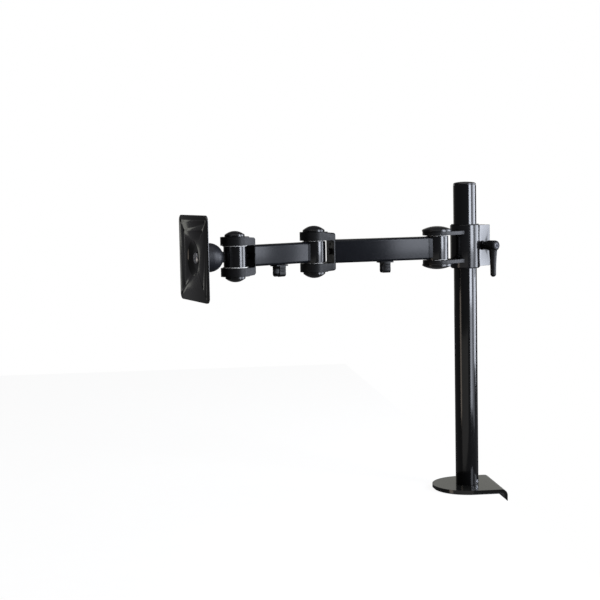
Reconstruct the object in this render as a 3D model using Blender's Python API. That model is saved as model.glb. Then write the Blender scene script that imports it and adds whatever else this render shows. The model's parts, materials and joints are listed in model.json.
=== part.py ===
"""Desk monitor arm: clamp base, post, sliding collar, two swivelling arms and a tilting screen plate.

Modelled in metres, +Z up. The origin is on the post's axis at the desk's surface. The base plate's
flange hooks over the desk's edge at +X, and the arms reach away from it.

Each arm, and the collar, is modelled in its own frame: local +X runs from its joint to the next one.
Empties hold those frames, so every piece hangs from the empty on the joint that moves it.
"""
import math

import bmesh
import bpy
from mathutils import Matrix, Vector

MM = 0.001
GAP = 0.3 * MM                    # room between two pieces that touch
WALL_MARGIN = 1.0 * MM            # how far a cutter runs past the face that it opens

# The pose: headings in degrees from +X, seen from above
BRACKET_HEADING = 212.1
INNER_ARM_HEADING = 191.4
OUTER_ARM_HEADING = 213.6
SCREEN_HEADING = 196.4
ARM_HEIGHT = 375.0 * MM           # the arms' centre line above the desk

# Distances from joint to joint
BRACKET_REACH = 60.0 * MM
INNER_ARM_REACH = 195.0 * MM
OUTER_ARM_REACH = 145.0 * MM

# Base plate, its pad and the post
PAD_THICKNESS = 1.7 * MM
PLATE_THICKNESS = 5.0 * MM
PLATE_WIDTH = 107.5 * MM
PLATE_REACH = 40.7 * MM           # post axis to the start of the bend
BEND_RADIUS = 9.0 * MM            # outer radius of the bend
FLANGE_DROP = 62.0 * MM           # how far the flange reaches below the desk's surface
FLANGE_CORNER = 12.0 * MM
POST_RADIUS = 17.5 * MM
POST_WALL = 2.0 * MM
POST_LENGTH = 460.7 * MM
POST_CAP_RIM = 2.0 * MM
POST_CAP_DOME = 2.7 * MM
POST_CAP_SKIRT = 12.0 * MM
FOOT_HEIGHT = 20.0 * MM
POST_BOLT_RADIUS = 4.8 * MM
POST_BOLT_HEAD = 9.5 * MM         # radius of the countersunk head
POST_BOLT_HEAD_HEIGHT = 4.5 * MM
SET_SCREW_RADIUS = 2.5 * MM
SET_SCREW_HEIGHT = 5.0 * MM       # above the base plate
SET_SCREW_HEADING = -39.0
SET_SCREW_LENGTH = 8.0 * MM

# Clamp under the desk
JAW_THICKNESS = 5.0 * MM
JAW_WIDTH = 60.0 * MM
JAW_TOP = -20.0 * MM
JAW_FLOOR = -88.0 * MM            # underside of the jaw
JAW_OVERHANG = 22.0 * MM          # jaw's reach past the clamp screw
JAW_CORNER = 10.0 * MM
JAW_BOLT_RADIUS = 4.0 * MM
JAW_BOLT_HEAD = 7.0 * MM
JAW_BOLT_HEAD_HEIGHT = 4.5 * MM
JAW_BOLT_SPACING = 36.0 * MM
JAW_BOLT_DROP = 36.0 * MM
SCREW_RADIUS = 4.8 * MM
BALL_RADIUS = 6.2 * MM
GRIP_THICKNESS = 28.0 * MM        # desk thickness that the clamp stands at
PRESSURE_RADIUS = 24.0 * MM
PRESSURE_PAD = 2.0 * MM
PRESSURE_PLATE = 3.5 * MM
SOCKET_WALL = 3.0 * MM            # round the screw's ball
SOCKET_LIP = 0.7 * MM
SOCKET_LIP_ANGLE = 35.0           # how far below its middle the ball is held, in degrees
SCREW_NECK = 3.6 * MM
KNOB_RADIUS = 21.0 * MM
KNOB_LOBE = 2.4 * MM
KNOB_LOBES = 6
KNOB_HEIGHT = 20.0 * MM
SCREW_TRAVEL_UP = 20.0 * MM       # room left between the knob and the jaw

# Collar on the post, with its split ears and its fork plates
SLEEVE_WALL = 1.2 * MM
SLEEVE_LIP = 2.0 * MM
SLEEVE_LIP_HEIGHT = 1.0 * MM
SLEEVE_SLIT = 2.0 * MM
COLLAR_WALL = 3.2 * MM
COLLAR_HEIGHT = 64.4 * MM
EAR_TIP = 15.0 * MM               # stud's axis to the ears' ends
EAR_THICKNESS = 8.0 * MM
EAR_SLIT = 3.0 * MM
EAR_CORNER = 2.0 * MM
BRACKET_PLATE = 5.2 * MM
BRACKET_NECK = 14.0 * MM          # half width of a fork plate where it leaves the collar
BRACKET_TIP = 21.5 * MM           # radius of a fork plate round its joint

# Clamping lever
STUD_ROOM = 8.5 * MM              # collar's round face to the stud's axis
STUD_RADIUS = 4.0 * MM
LEVER_BOSS_RADIUS = 6.5 * MM
LEVER_BOSS_HEIGHT = 9.2 * MM
LEVER_HUB_RADIUS = 7.8 * MM
LEVER_HUB_HEIGHT = 17.7 * MM
LEVER_SPLINE_RADIUS = 5.0 * MM
LEVER_SPLINE_HEIGHT = 6.5 * MM
LEVER_LENGTH = 48.0 * MM
LEVER_ROOT_RADIUS = 5.2 * MM
LEVER_TIP_RADIUS = 4.0 * MM
LEVER_SCREW_RADIUS = 2.5 * MM
LEVER_SCREW_HEAD = 4.2 * MM
LEVER_SPRING_HEIGHT = 2.2 * MM
NUT_RADIUS = 7.5 * MM
NUT_HEIGHT = 5.0 * MM

# What the three upright joints share
PIVOT_RADIUS = 5.0 * MM
PIVOT_HEAD_RADIUS = 8.0 * MM
PIVOT_HEAD_HEIGHT = 5.4 * MM
WASHER_THICKNESS = 0.8 * MM
WASHER_INSET = 2.0 * MM           # from the hub's face in to the shoulder's and the elbow's washers
WASHER_SHOW = 1.5 * MM            # from the hub's face out to the wrist's washers
CAP_RIM = 3.2 * MM
CAP_SHELL = 2.0 * MM

# Hubs and tubes
HUB_RADIUS = 17.0 * MM
HUB_PROUD = 0.3 * MM              # a hub's height over its tube, at each face
NECK_LENGTH = 1.0 * MM            # hub's round face to the tube's end
TONGUE_LENGTH = 28.0 * MM
TUBE_WALL = 2.0 * MM
TUBE_CORNER = 4.0 * MM
INNER_TUBE_HEIGHT = 34.0 * MM
INNER_TUBE_WIDTH = 24.0 * MM
OUTER_TUBE_HEIGHT = 30.0 * MM
OUTER_TUBE_WIDTH = 18.0 * MM

# Forks at the arms' far ends
ELBOW_RING = 20.5 * MM
ELBOW_BACK = 29.2 * MM            # joint axis to the outside of the fork's back wall
ELBOW_PLATE = 12.3 * MM
ELBOW_CAP_RADIUS = 16.0 * MM
ELBOW_CAP_HEIGHT = 8.8 * MM
WRIST_RING = 20.1 * MM
WRIST_BACK = 26.2 * MM
WRIST_PLATE = 11.8 * MM
WRIST_CAP_RADIUS = 14.0 * MM
WRIST_CAP_HEIGHT = 7.8 * MM
SHOULDER_CAP_RADIUS = 22.3 * MM
SHOULDER_CAP_HEIGHT = 8.1 * MM
FORK_WALL = 4.0 * MM
FORK_NARROWING = 3.5 * MM         # how much narrower each side is at the back wall
FORK_CORNER = 6.0 * MM
FORK_SCREW_RADIUS = 3.0 * MM
FORK_SCREW_HEAD = 4.8 * MM
FORK_PIN_RADIUS = 2.0 * MM
FORK_PIN_RISE = 0.36              # the pin's height, as a share of the tube's height
INSERT_LENGTH = 24.0 * MM

# Cable clips
CLIP_LENGTH = 16.0 * MM
CLIP_WIDTH = 17.0 * MM
CLIP_DROP = 17.0 * MM
CLIP_WALL = 2.4 * MM
CLIP_BASE = 22.0 * MM
CLIP_BASE_HEIGHT = 2.0 * MM
CLIP_SLOT = 5.0 * MM
INNER_CLIP_PLACE = 84.0 * MM
OUTER_CLIP_PLACE = 66.0 * MM

# Head: hub with its tongue, yoke, dome and screen plate
HEAD_HUB_RADIUS = 16.0 * MM
HEAD_HUB_HEIGHT = 28.6 * MM
LUG_THICKNESS = 8.0 * MM
LUG_RADIUS = 7.5 * MM
TILT_PIN_RADIUS = 3.0 * MM
TILT_PIN_HEAD = 5.0 * MM
TILT_PIN_HEAD_HEIGHT = 2.4 * MM
YOKE_CHEEK = 4.0 * MM
YOKE_ROOM = 1.6 * MM              # dome's inside to the yoke's round base
YOKE_BASE = 5.0 * MM
DOME_ROOM = 1.5 * MM              # hub's round face to the dome
DOME_RADIUS = 20.8 * MM
DOME_WALL = 2.0 * MM
TILT_LIMIT = 15.0                 # degrees each way, which sets the height of the dome's slot
SCREEN_BOLT_RADIUS = 4.0 * MM
SCREEN_BOLT_HEAD = 8.0 * MM
SCREEN_BOLT_HEAD_HEIGHT = 3.4 * MM
SCREEN_WASHER_INSET = 3.2 * MM    # yoke's round base in to the screen's washer
PLATE_SIDE = 118.0 * MM
SCREEN_PLATE_THICKNESS = 2.5 * MM
SCREEN_PLATE_CORNER = 9.0 * MM
DISH_DEPTH = 5.4 * MM
DISH_FLOOR_RADIUS = 17.0 * MM
DISH_RIM_RADIUS = 25.0 * MM
HOLE_RADIUS = 2.3 * MM
HOLE_PATTERNS = (75.0 * MM, 100.0 * MM)

# Values that follow from the ones above
PLATE_TOP = PAD_THICKNESS + GAP + PLATE_THICKNESS
FLANGE_FACE = PLATE_REACH + BEND_RADIUS
FLANGE_INSIDE = FLANGE_FACE - PLATE_THICKNESS
POST_BOTTOM = PLATE_TOP + GAP
POST_TOP = POST_BOTTOM + POST_LENGTH
POST_BORE = POST_RADIUS - POST_WALL
SLEEVE_BORE = POST_RADIUS + GAP
COLLAR_BORE = SLEEVE_BORE + SLEEVE_WALL + GAP
COLLAR_RADIUS = COLLAR_BORE + COLLAR_WALL
EAR_FACE = EAR_SLIT / 2 + EAR_THICKNESS
STUD_REACH = COLLAR_RADIUS + STUD_ROOM       # post axis to stud axis
EAR_REACH = STUD_REACH + EAR_TIP
NECK_REACH = HUB_RADIUS + NECK_LENGTH        # joint axis to the tube's end
TILT_REACH = HEAD_HUB_RADIUS + DOME_ROOM + DOME_RADIUS   # wrist axis to tilt axis
JAW_FACE = FLANGE_FACE + GAP
PIVOT_BORE = PIVOT_RADIUS + GAP
YOKE_BASE_RADIUS = DOME_RADIUS - DOME_WALL - YOKE_ROOM
SCREEN_WASHER_RADIUS = YOKE_BASE_RADIUS - SCREEN_WASHER_INSET
JOINT_ROOM = HUB_PROUD + WASHER_THICKNESS + 2 * GAP   # from a tube's face to its fork's inner face

# Directions in which a shape drawn in X and Y, and raised along Z, is laid
ALONG_X = Matrix(((0, 0, 1), (1, 0, 0), (0, 1, 0))).to_4x4()
ALONG_Y = Matrix(((0, 1, 0), (0, 0, 1), (1, 0, 0))).to_4x4()
ALONG_Z = Matrix.Identity(4)


def clear_scene():
    """Remove every object that is in the file."""
    for item in list(bpy.data.objects):
        bpy.data.objects.remove(item, do_unlink=True)


def make_material(name, color, roughness, metallic):
    """A Principled material of one colour."""
    finish = bpy.data.materials.new(name)
    finish.use_nodes = True
    shader = finish.node_tree.nodes["Principled BSDF"]
    shader.inputs["Base Color"].default_value = (*color, 1.0)
    shader.inputs["Roughness"].default_value = roughness
    shader.inputs["Metallic"].default_value = metallic
    finish.diffuse_color = (*color, 1.0)
    return finish


def make_axis(name, parent, place, heading=0.0):
    """An empty that carries the pieces of one moving body."""
    empty = bpy.data.objects.new(name, None)
    empty.empty_display_size = 20 * MM
    empty.parent = parent
    empty.location = place
    empty.rotation_euler = (0.0, 0.0, math.radians(heading))
    bpy.context.collection.objects.link(empty)
    return empty


def make_object(name, shape, parent, finish, lay=ALONG_Z, place=(0, 0, 0)):
    """Turn a bmesh into an object, laid along an axis and shaded smooth up to 35 degrees."""
    bmesh.ops.transform(shape, matrix=lay, verts=shape.verts[:])
    bmesh.ops.recalc_face_normals(shape, faces=shape.faces[:])
    mesh = bpy.data.meshes.new(name)
    shape.to_mesh(mesh)
    shape.free()
    mesh.shade_smooth()
    mesh.set_sharp_from_angle(angle=math.radians(35))
    if finish:
        mesh.materials.append(finish)
    piece = bpy.data.objects.new(name, mesh)
    piece.parent = parent
    piece.location = place
    bpy.context.collection.objects.link(piece)
    return piece


def combine(piece, tool, operation):
    """Join a shape to a piece or cut it away, and hide the shape."""
    tool.hide_render = True
    tool.display_type = 'WIRE'
    step = piece.modifiers.new(tool.name, 'BOOLEAN')
    step.operation = operation
    step.solver = 'EXACT'
    step.object = tool
    return piece


def cut(piece, name, shape, lay=ALONG_Z, place=(0, 0, 0)):
    """Cut a bmesh, given in the piece's own frame, out of a piece."""
    return combine(piece, make_object(name, shape, piece, None, lay, place), 'DIFFERENCE')


def add(piece, name, shape, lay=ALONG_Z, place=(0, 0, 0)):
    """Join a bmesh, given in the piece's own frame, to a piece."""
    return combine(piece, make_object(name, shape, piece, None, lay, place), 'UNION')


def arc(center, radius, start, end, steps):
    """Points on an arc, with angles in degrees."""
    angles = [math.radians(start + (end - start) * i / steps) for i in range(steps + 1)]
    return [(center[0] + radius * math.cos(a), center[1] + radius * math.sin(a)) for a in angles]


def rounded_rectangle(width, height, corner, steps=2):
    """Outline of a rectangle on the origin with rounded corners."""
    x, y = width / 2 - corner, height / 2 - corner
    outline = []
    for sign_x, sign_y, start in ((1, 1, 0), (-1, 1, 90), (-1, -1, 180), (1, -1, 270)):
        outline += arc((sign_x * x, sign_y * y), corner, start, start + 90, steps)
    return outline


def turned(profile, sides, ring=False):
    """Solid of revolution about Z. An open profile starts and ends on the axis; a ring closes itself."""
    shape = bmesh.new()
    points = [shape.verts.new((radius, 0, height)) for radius, height in profile]
    ends = points[1:] + points[:1] if ring else points[1:]
    edges = [shape.edges.new(pair) for pair in zip(points, ends)]
    bmesh.ops.spin(shape, geom=points + edges, axis=(0, 0, 1), cent=(0, 0, 0),
                   angle=2 * math.pi, steps=sides, use_merge=True)
    bmesh.ops.remove_doubles(shape, verts=shape.verts[:], dist=1e-6)
    return shape


def rod(radius, low, high, sides=12):
    """Plain cylinder about Z."""
    return turned([(0, high), (radius, high), (radius, low), (0, low)], sides)


def chamfered_rod(radius, low, high, chamfer, sides):
    """Cylinder about Z with both rims chamfered."""
    return turned([(0, high), (radius - chamfer, high), (radius, high - chamfer),
                   (radius, low + chamfer), (radius - chamfer, low), (0, low)], sides)


def raised(outline, low, high):
    """Outline in X and Y raised along Z to a solid."""
    shape = bmesh.new()
    floor = shape.faces.new([shape.verts.new((x, y, low)) for x, y in outline])
    lifted = bmesh.ops.extrude_face_region(shape, geom=[floor])
    tops = [item for item in lifted["geom"] if isinstance(item, bmesh.types.BMVert)]
    bmesh.ops.translate(shape, verts=tops, vec=(0, 0, high - low))
    return shape


def raised_ring(outer, inner, low, high):
    """Two outlines with the same number of points raised along Z to a hollow solid."""
    shape = bmesh.new()
    edges = []
    for outline in (outer, inner):
        loop = [shape.verts.new((x, y, low)) for x, y in outline]
        edges += [shape.edges.new(pair) for pair in zip(loop, loop[1:] + loop[:1])]
    floor = bmesh.ops.bridge_loops(shape, edges=edges)["faces"]
    lifted = bmesh.ops.extrude_face_region(shape, geom=floor)
    tops = [item for item in lifted["geom"] if isinstance(item, bmesh.types.BMVert)]
    bmesh.ops.translate(shape, verts=tops, vec=(0, 0, high - low))
    return shape


def round_corners(shape, edges, radius):
    """Round the given edges of a solid."""
    bmesh.ops.recalc_face_normals(shape, faces=shape.faces[:])
    bmesh.ops.bevel(shape, geom=edges, offset=radius, segments=4, profile=0.5, affect='EDGES')


def block(low, high):
    """Box from its lowest to its highest corner."""
    shape = bmesh.new()
    size = Vector(high) - Vector(low)
    middle = (Vector(high) + Vector(low)) / 2
    bmesh.ops.create_cube(shape, size=1.0, matrix=Matrix.Translation(middle) @ Matrix.Diagonal((*size, 1)))
    return shape


def hex_ring(radius, hole, low, high):
    """Hexagon nut about Z: its flats and its hole both have twelve points."""
    outer = []
    for i in range(6):
        corner = arc((0, 0), radius, 60 * i, 60 * i, 1)[0]
        following = arc((0, 0), radius, 60 * (i + 1), 60 * (i + 1), 1)[0]
        outer += [corner, ((corner[0] + following[0]) / 2, (corner[1] + following[1]) / 2)]
    return raised_ring(outer, arc((0, 0), hole, 0, 330, 11), low, high)


# ---------------------------------------------------------------- base, post and clamp

def build_desk_pad(parent, finish):
    """Thin pad between the plate and the desk."""
    radius = PLATE_WIDTH / 2 - 2 * MM
    outline = arc((0, 0), radius, 90, 270, 18) + [(PLATE_REACH, -radius), (PLATE_REACH, radius)]
    make_object("desk_pad", raised(outline, 0, PAD_THICKNESS), parent, finish)


def build_base_plate(parent, finish):
    """Steel plate with a round end, bent down over the desk's edge."""
    low, half = PAD_THICKNESS + GAP, PLATE_WIDTH / 2
    bend = (PLATE_REACH, PLATE_TOP - BEND_RADIUS)
    inner_radius = BEND_RADIUS - PLATE_THICKNESS
    profile = [(-half - WALL_MARGIN, low), (-half - WALL_MARGIN, PLATE_TOP)]
    profile += arc(bend, BEND_RADIUS, 90, 0, 7)
    profile += [(FLANGE_FACE, -FLANGE_DROP), (FLANGE_INSIDE, -FLANGE_DROP)]
    profile += arc(bend, inner_radius, 0, 90, 5)
    strip = raised([(z, x) for x, z in profile], -half, half)
    bmesh.ops.transform(strip, matrix=ALONG_Y, verts=strip.verts[:])
    corners = [edge for edge in strip.edges
               if all(abs(v.co.z + FLANGE_DROP) < GAP for v in edge.verts)
               and abs(edge.verts[0].co.y - edge.verts[1].co.y) < GAP]
    round_corners(strip, corners, FLANGE_CORNER)
    plate = make_object("base_plate", strip, parent, finish)
    outline = arc((0, 0), half, 90, 270, 24)
    outline += [(FLANGE_FACE + WALL_MARGIN, -half - WALL_MARGIN), (FLANGE_FACE + WALL_MARGIN, half + WALL_MARGIN)]
    plan = make_object("base_plate_plan", raised(outline, -FLANGE_DROP - WALL_MARGIN, PLATE_TOP + WALL_MARGIN),
                       plate, None)
    combine(plate, plan, 'INTERSECT')
    head, hole = POST_BOLT_HEAD + 3 * GAP, POST_BOLT_RADIUS + GAP
    sink = turned([(0, PLATE_TOP + WALL_MARGIN), (hole, PLATE_TOP + WALL_MARGIN),
                   (hole, low + POST_BOLT_HEAD_HEIGHT), (head, low), (head, low - WALL_MARGIN),
                   (0, low - WALL_MARGIN)], 16)
    cut(plate, "base_plate_countersink", sink)
    for side in (-1, 1):
        tapped = rod(JAW_BOLT_RADIUS + GAP, FLANGE_INSIDE - WALL_MARGIN, FLANGE_FACE + WALL_MARGIN)
        cut(plate, "flange_hole", tapped, ALONG_X, (0, side * JAW_BOLT_SPACING / 2, -JAW_BOLT_DROP))


def build_post(parent, steel, plastic, bright):
    """Tube, the foot welded into it, the bolt and set screw that hold it, and its cap."""
    tube = turned([(POST_BORE, POST_BOTTOM), (POST_RADIUS, POST_BOTTOM), (POST_RADIUS, POST_TOP),
                   (POST_BORE, POST_TOP)], 32, ring=True)
    post = make_object("post", tube, parent, steel)
    plug = POST_BORE - GAP
    foot = make_object("post_foot", rod(plug, POST_BOTTOM, POST_BOTTOM + FOOT_HEIGHT, 20), parent, bright)
    thread_top = POST_BOTTOM + FOOT_HEIGHT - 4 * MM
    cut(foot, "post_foot_thread", rod(POST_BOLT_RADIUS + GAP, POST_BOTTOM - WALL_MARGIN, thread_top))
    low = PAD_THICKNESS + 2 * GAP
    bolt = turned([(0, thread_top - WALL_MARGIN), (POST_BOLT_RADIUS, thread_top - WALL_MARGIN),
                   (POST_BOLT_RADIUS, low + POST_BOLT_HEAD_HEIGHT - 2 * GAP), (POST_BOLT_HEAD, low), (0, low)], 16)
    make_object("post_bolt", bolt, parent, bright)

    radial = make_axis("set_screw_axis", parent, (0, 0, PLATE_TOP + SET_SCREW_HEIGHT), SET_SCREW_HEADING)
    outer = POST_RADIUS - 0.2 * MM
    screw = rod(SET_SCREW_RADIUS, outer - SET_SCREW_LENGTH, outer, 12)
    make_object("post_set_screw", screw, radial, bright, ALONG_X)
    for piece in (post, foot):
        reach = (outer - SET_SCREW_LENGTH - GAP, POST_RADIUS + WALL_MARGIN)
        hole = make_object("set_screw_hole", rod(SET_SCREW_RADIUS + GAP, *reach, 12), radial, None, ALONG_X)
        combine(piece, hole, 'DIFFERENCE')

    rim = POST_TOP + GAP
    dome = [(math.cos(a) * (POST_RADIUS - GAP), rim + POST_CAP_RIM + math.sin(a) * POST_CAP_DOME)
            for a in (math.radians(90 - 30 * i) for i in range(4))]
    skirt = plug - CAP_SHELL
    cap = [(0, dome[0][1])] + dome[1:] + [(POST_RADIUS - GAP, rim), (plug, rim), (plug, rim - POST_CAP_SKIRT),
                                          (skirt, rim - POST_CAP_SKIRT), (skirt, rim), (0, rim)]
    make_object("post_cap", turned(cap, 24), parent, plastic)


def build_clamp(parent, foot_axis, screw_axis, steel, bright, rubber, plastic):
    """Lower jaw bolted to the flange, with the screw that presses a padded foot up under the desk."""
    inside = JAW_FACE + JAW_THICKNESS - BEND_RADIUS
    bend = (inside, JAW_FLOOR + BEND_RADIUS)
    profile = arc(bend, BEND_RADIUS, -90, 0, 6) + [(JAW_FACE + JAW_THICKNESS, JAW_TOP), (JAW_FACE, JAW_TOP)]
    profile += arc(bend, BEND_RADIUS - JAW_THICKNESS, 0, -90, 4)
    profile += [(-JAW_OVERHANG, JAW_FLOOR + JAW_THICKNESS), (-JAW_OVERHANG, JAW_FLOOR)]
    strip = raised([(z, x) for x, z in profile], -JAW_WIDTH / 2, JAW_WIDTH / 2)
    bmesh.ops.transform(strip, matrix=ALONG_Y, verts=strip.verts[:])
    ends = [edge for edge in strip.edges
            if abs(abs(edge.verts[0].co.y) - JAW_WIDTH / 2) < GAP
            and (edge.verts[1].co - edge.verts[0].co).length < JAW_THICKNESS + GAP
            and abs(edge.verts[0].co.y - edge.verts[1].co.y) < GAP
            and (all(v.co.x < -JAW_OVERHANG + GAP for v in edge.verts)
                 or all(v.co.z > JAW_TOP - GAP for v in edge.verts))]
    round_corners(strip, ends, JAW_CORNER)
    jaw = make_object("clamp_jaw", strip, parent, steel)
    cut(jaw, "clamp_jaw_thread",
        rod(SCREW_RADIUS + GAP, JAW_FLOOR - WALL_MARGIN, JAW_FLOOR + JAW_THICKNESS + WALL_MARGIN))
    for side, word in ((-1, "near"), (1, "far")):
        place = (0, side * JAW_BOLT_SPACING / 2, -JAW_BOLT_DROP)
        hole = rod(JAW_BOLT_RADIUS + GAP, JAW_FACE - WALL_MARGIN, JAW_FACE + JAW_THICKNESS + WALL_MARGIN)
        cut(jaw, "clamp_jaw_hole", hole, ALONG_X, place)
        face = JAW_FACE + JAW_THICKNESS + GAP
        bolt = turned([(0, face + JAW_BOLT_HEAD_HEIGHT), (JAW_BOLT_HEAD * 0.7, face + JAW_BOLT_HEAD_HEIGHT),
                       (JAW_BOLT_HEAD, face + JAW_BOLT_HEAD_HEIGHT * 0.4), (JAW_BOLT_HEAD, face),
                       (JAW_BOLT_RADIUS, face), (JAW_BOLT_RADIUS, FLANGE_INSIDE + GAP),
                       (0, FLANGE_INSIDE + GAP)], 12)
        make_object("jaw_bolt_" + word, bolt, parent, bright, ALONG_X, place)

    pad_low = -GRIP_THICKNESS - PRESSURE_PAD
    make_object("pressure_pad", rod(PRESSURE_RADIUS - MM, pad_low, -GRIP_THICKNESS, 18), foot_axis, rubber)
    top = pad_low - GAP
    floor = top - PRESSURE_PLATE
    ball = floor - BALL_RADIUS + 1.5 * MM
    cavity = [(r, ball + z) for r, z in arc((0, 0), BALL_RADIUS + GAP, 90, -SOCKET_LIP_ANGLE, 5)]
    bottom = cavity[-1][1] - SOCKET_LIP
    socket = BALL_RADIUS + GAP + SOCKET_WALL
    plate = [(0, top), (PRESSURE_RADIUS, top), (PRESSURE_RADIUS, floor), (socket, floor - 2 * MM),
             (socket, bottom), (cavity[-1][0], bottom)] + cavity[:0:-1] + [(0, ball + BALL_RADIUS + GAP)]
    make_object("pressure_plate", turned(plate, 18), foot_axis, steel)

    knob_top = JAW_FLOOR - SCREW_TRAVEL_UP
    neck = math.degrees(math.acos(SCREW_NECK / BALL_RADIUS))
    sphere = [(r, ball + z) for r, z in arc((0, 0), BALL_RADIUS, 90, -neck, 5)]
    shoulder = bottom - 1.5 * MM
    end = knob_top - KNOB_HEIGHT + 6 * MM
    screw = [(0, ball + BALL_RADIUS)] + sphere[1:] + [(SCREW_NECK, shoulder), (SCREW_RADIUS, shoulder - MM),
                                                     (SCREW_RADIUS, end), (0, end)]
    make_object("clamp_screw", turned(screw, 14), screw_axis, bright)
    star = [((KNOB_RADIUS + KNOB_LOBE * math.cos(KNOB_LOBES * a)) * math.cos(a),
             (KNOB_RADIUS + KNOB_LOBE * math.cos(KNOB_LOBES * a)) * math.sin(a))
            for a in (2 * math.pi * i / (6 * KNOB_LOBES) for i in range(6 * KNOB_LOBES))]
    knob = make_object("clamp_knob", raised(star, knob_top - KNOB_HEIGHT, knob_top), screw_axis, plastic)
    cut(knob, "clamp_knob_bore", rod(SCREW_RADIUS + GAP, end - GAP, knob_top + WALL_MARGIN, 20))


# ---------------------------------------------------------------- collar and clamping lever

def build_sleeve(parent, finish):
    """Split plastic sleeve that the collar turns on and that slides on the post."""
    outer, half = SLEEVE_BORE + SLEEVE_WALL, COLLAR_HEIGHT / 2 + GAP
    top = half + SLEEVE_LIP_HEIGHT
    lip = outer + SLEEVE_LIP
    profile = [(SLEEVE_BORE, -top), (lip, -top), (lip, -half), (outer, -half),
               (outer, half), (lip, half), (lip, top), (SLEEVE_BORE, top)]
    sleeve = make_object("collar_sleeve", turned(profile, 24, ring=True), parent, finish)
    slit = block((-lip - WALL_MARGIN, -SLEEVE_SLIT / 2, -top - WALL_MARGIN),
                 (0, SLEEVE_SLIT / 2, top + WALL_MARGIN))
    cut(sleeve, "collar_sleeve_slit", slit)


def build_collar(parent, finish):
    """Clamp ring with two split ears, and the two fork plates of the shoulder joint."""
    half = COLLAR_HEIGHT / 2
    collar = make_object("collar", chamfered_rod(COLLAR_RADIUS, -half, half, 0.6 * MM, 32), parent, finish)
    root = 5 * MM
    ears = raised(rounded_rectangle(EAR_REACH - root, 2 * EAR_FACE, EAR_CORNER), -half + 0.8 * MM, half - 0.8 * MM)
    add(collar, "collar_ears", ears, place=(-(EAR_REACH + root) / 2, 0, 0))
    inner = INNER_TUBE_HEIGHT / 2 + JOINT_ROOM
    plan = arc((BRACKET_REACH, 0), BRACKET_TIP, -100, 100, 14) + [(root, BRACKET_NECK), (root, -BRACKET_NECK)]
    for side, word in ((1, "upper"), (-1, "lower")):
        low, high = sorted((side * inner, side * (inner + BRACKET_PLATE)))
        add(collar, "collar_plate_" + word, raised(plan, low, high))
    tall = half + WALL_MARGIN
    cut(collar, "collar_bore", rod(COLLAR_BORE, -tall, tall, 32))
    cut(collar, "collar_slit", block((-EAR_REACH - WALL_MARGIN, -EAR_SLIT / 2, -tall), (-root, EAR_SLIT / 2, tall)))
    cut(collar, "collar_pivot_hole", rod(PIVOT_BORE, -tall, tall), place=(BRACKET_REACH, 0, 0))
    cut(collar, "collar_stud_hole", rod(STUD_RADIUS + GAP, -EAR_FACE - WALL_MARGIN, EAR_FACE + WALL_MARGIN),
        ALONG_Y, (-STUD_REACH, 0, 0))


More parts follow.
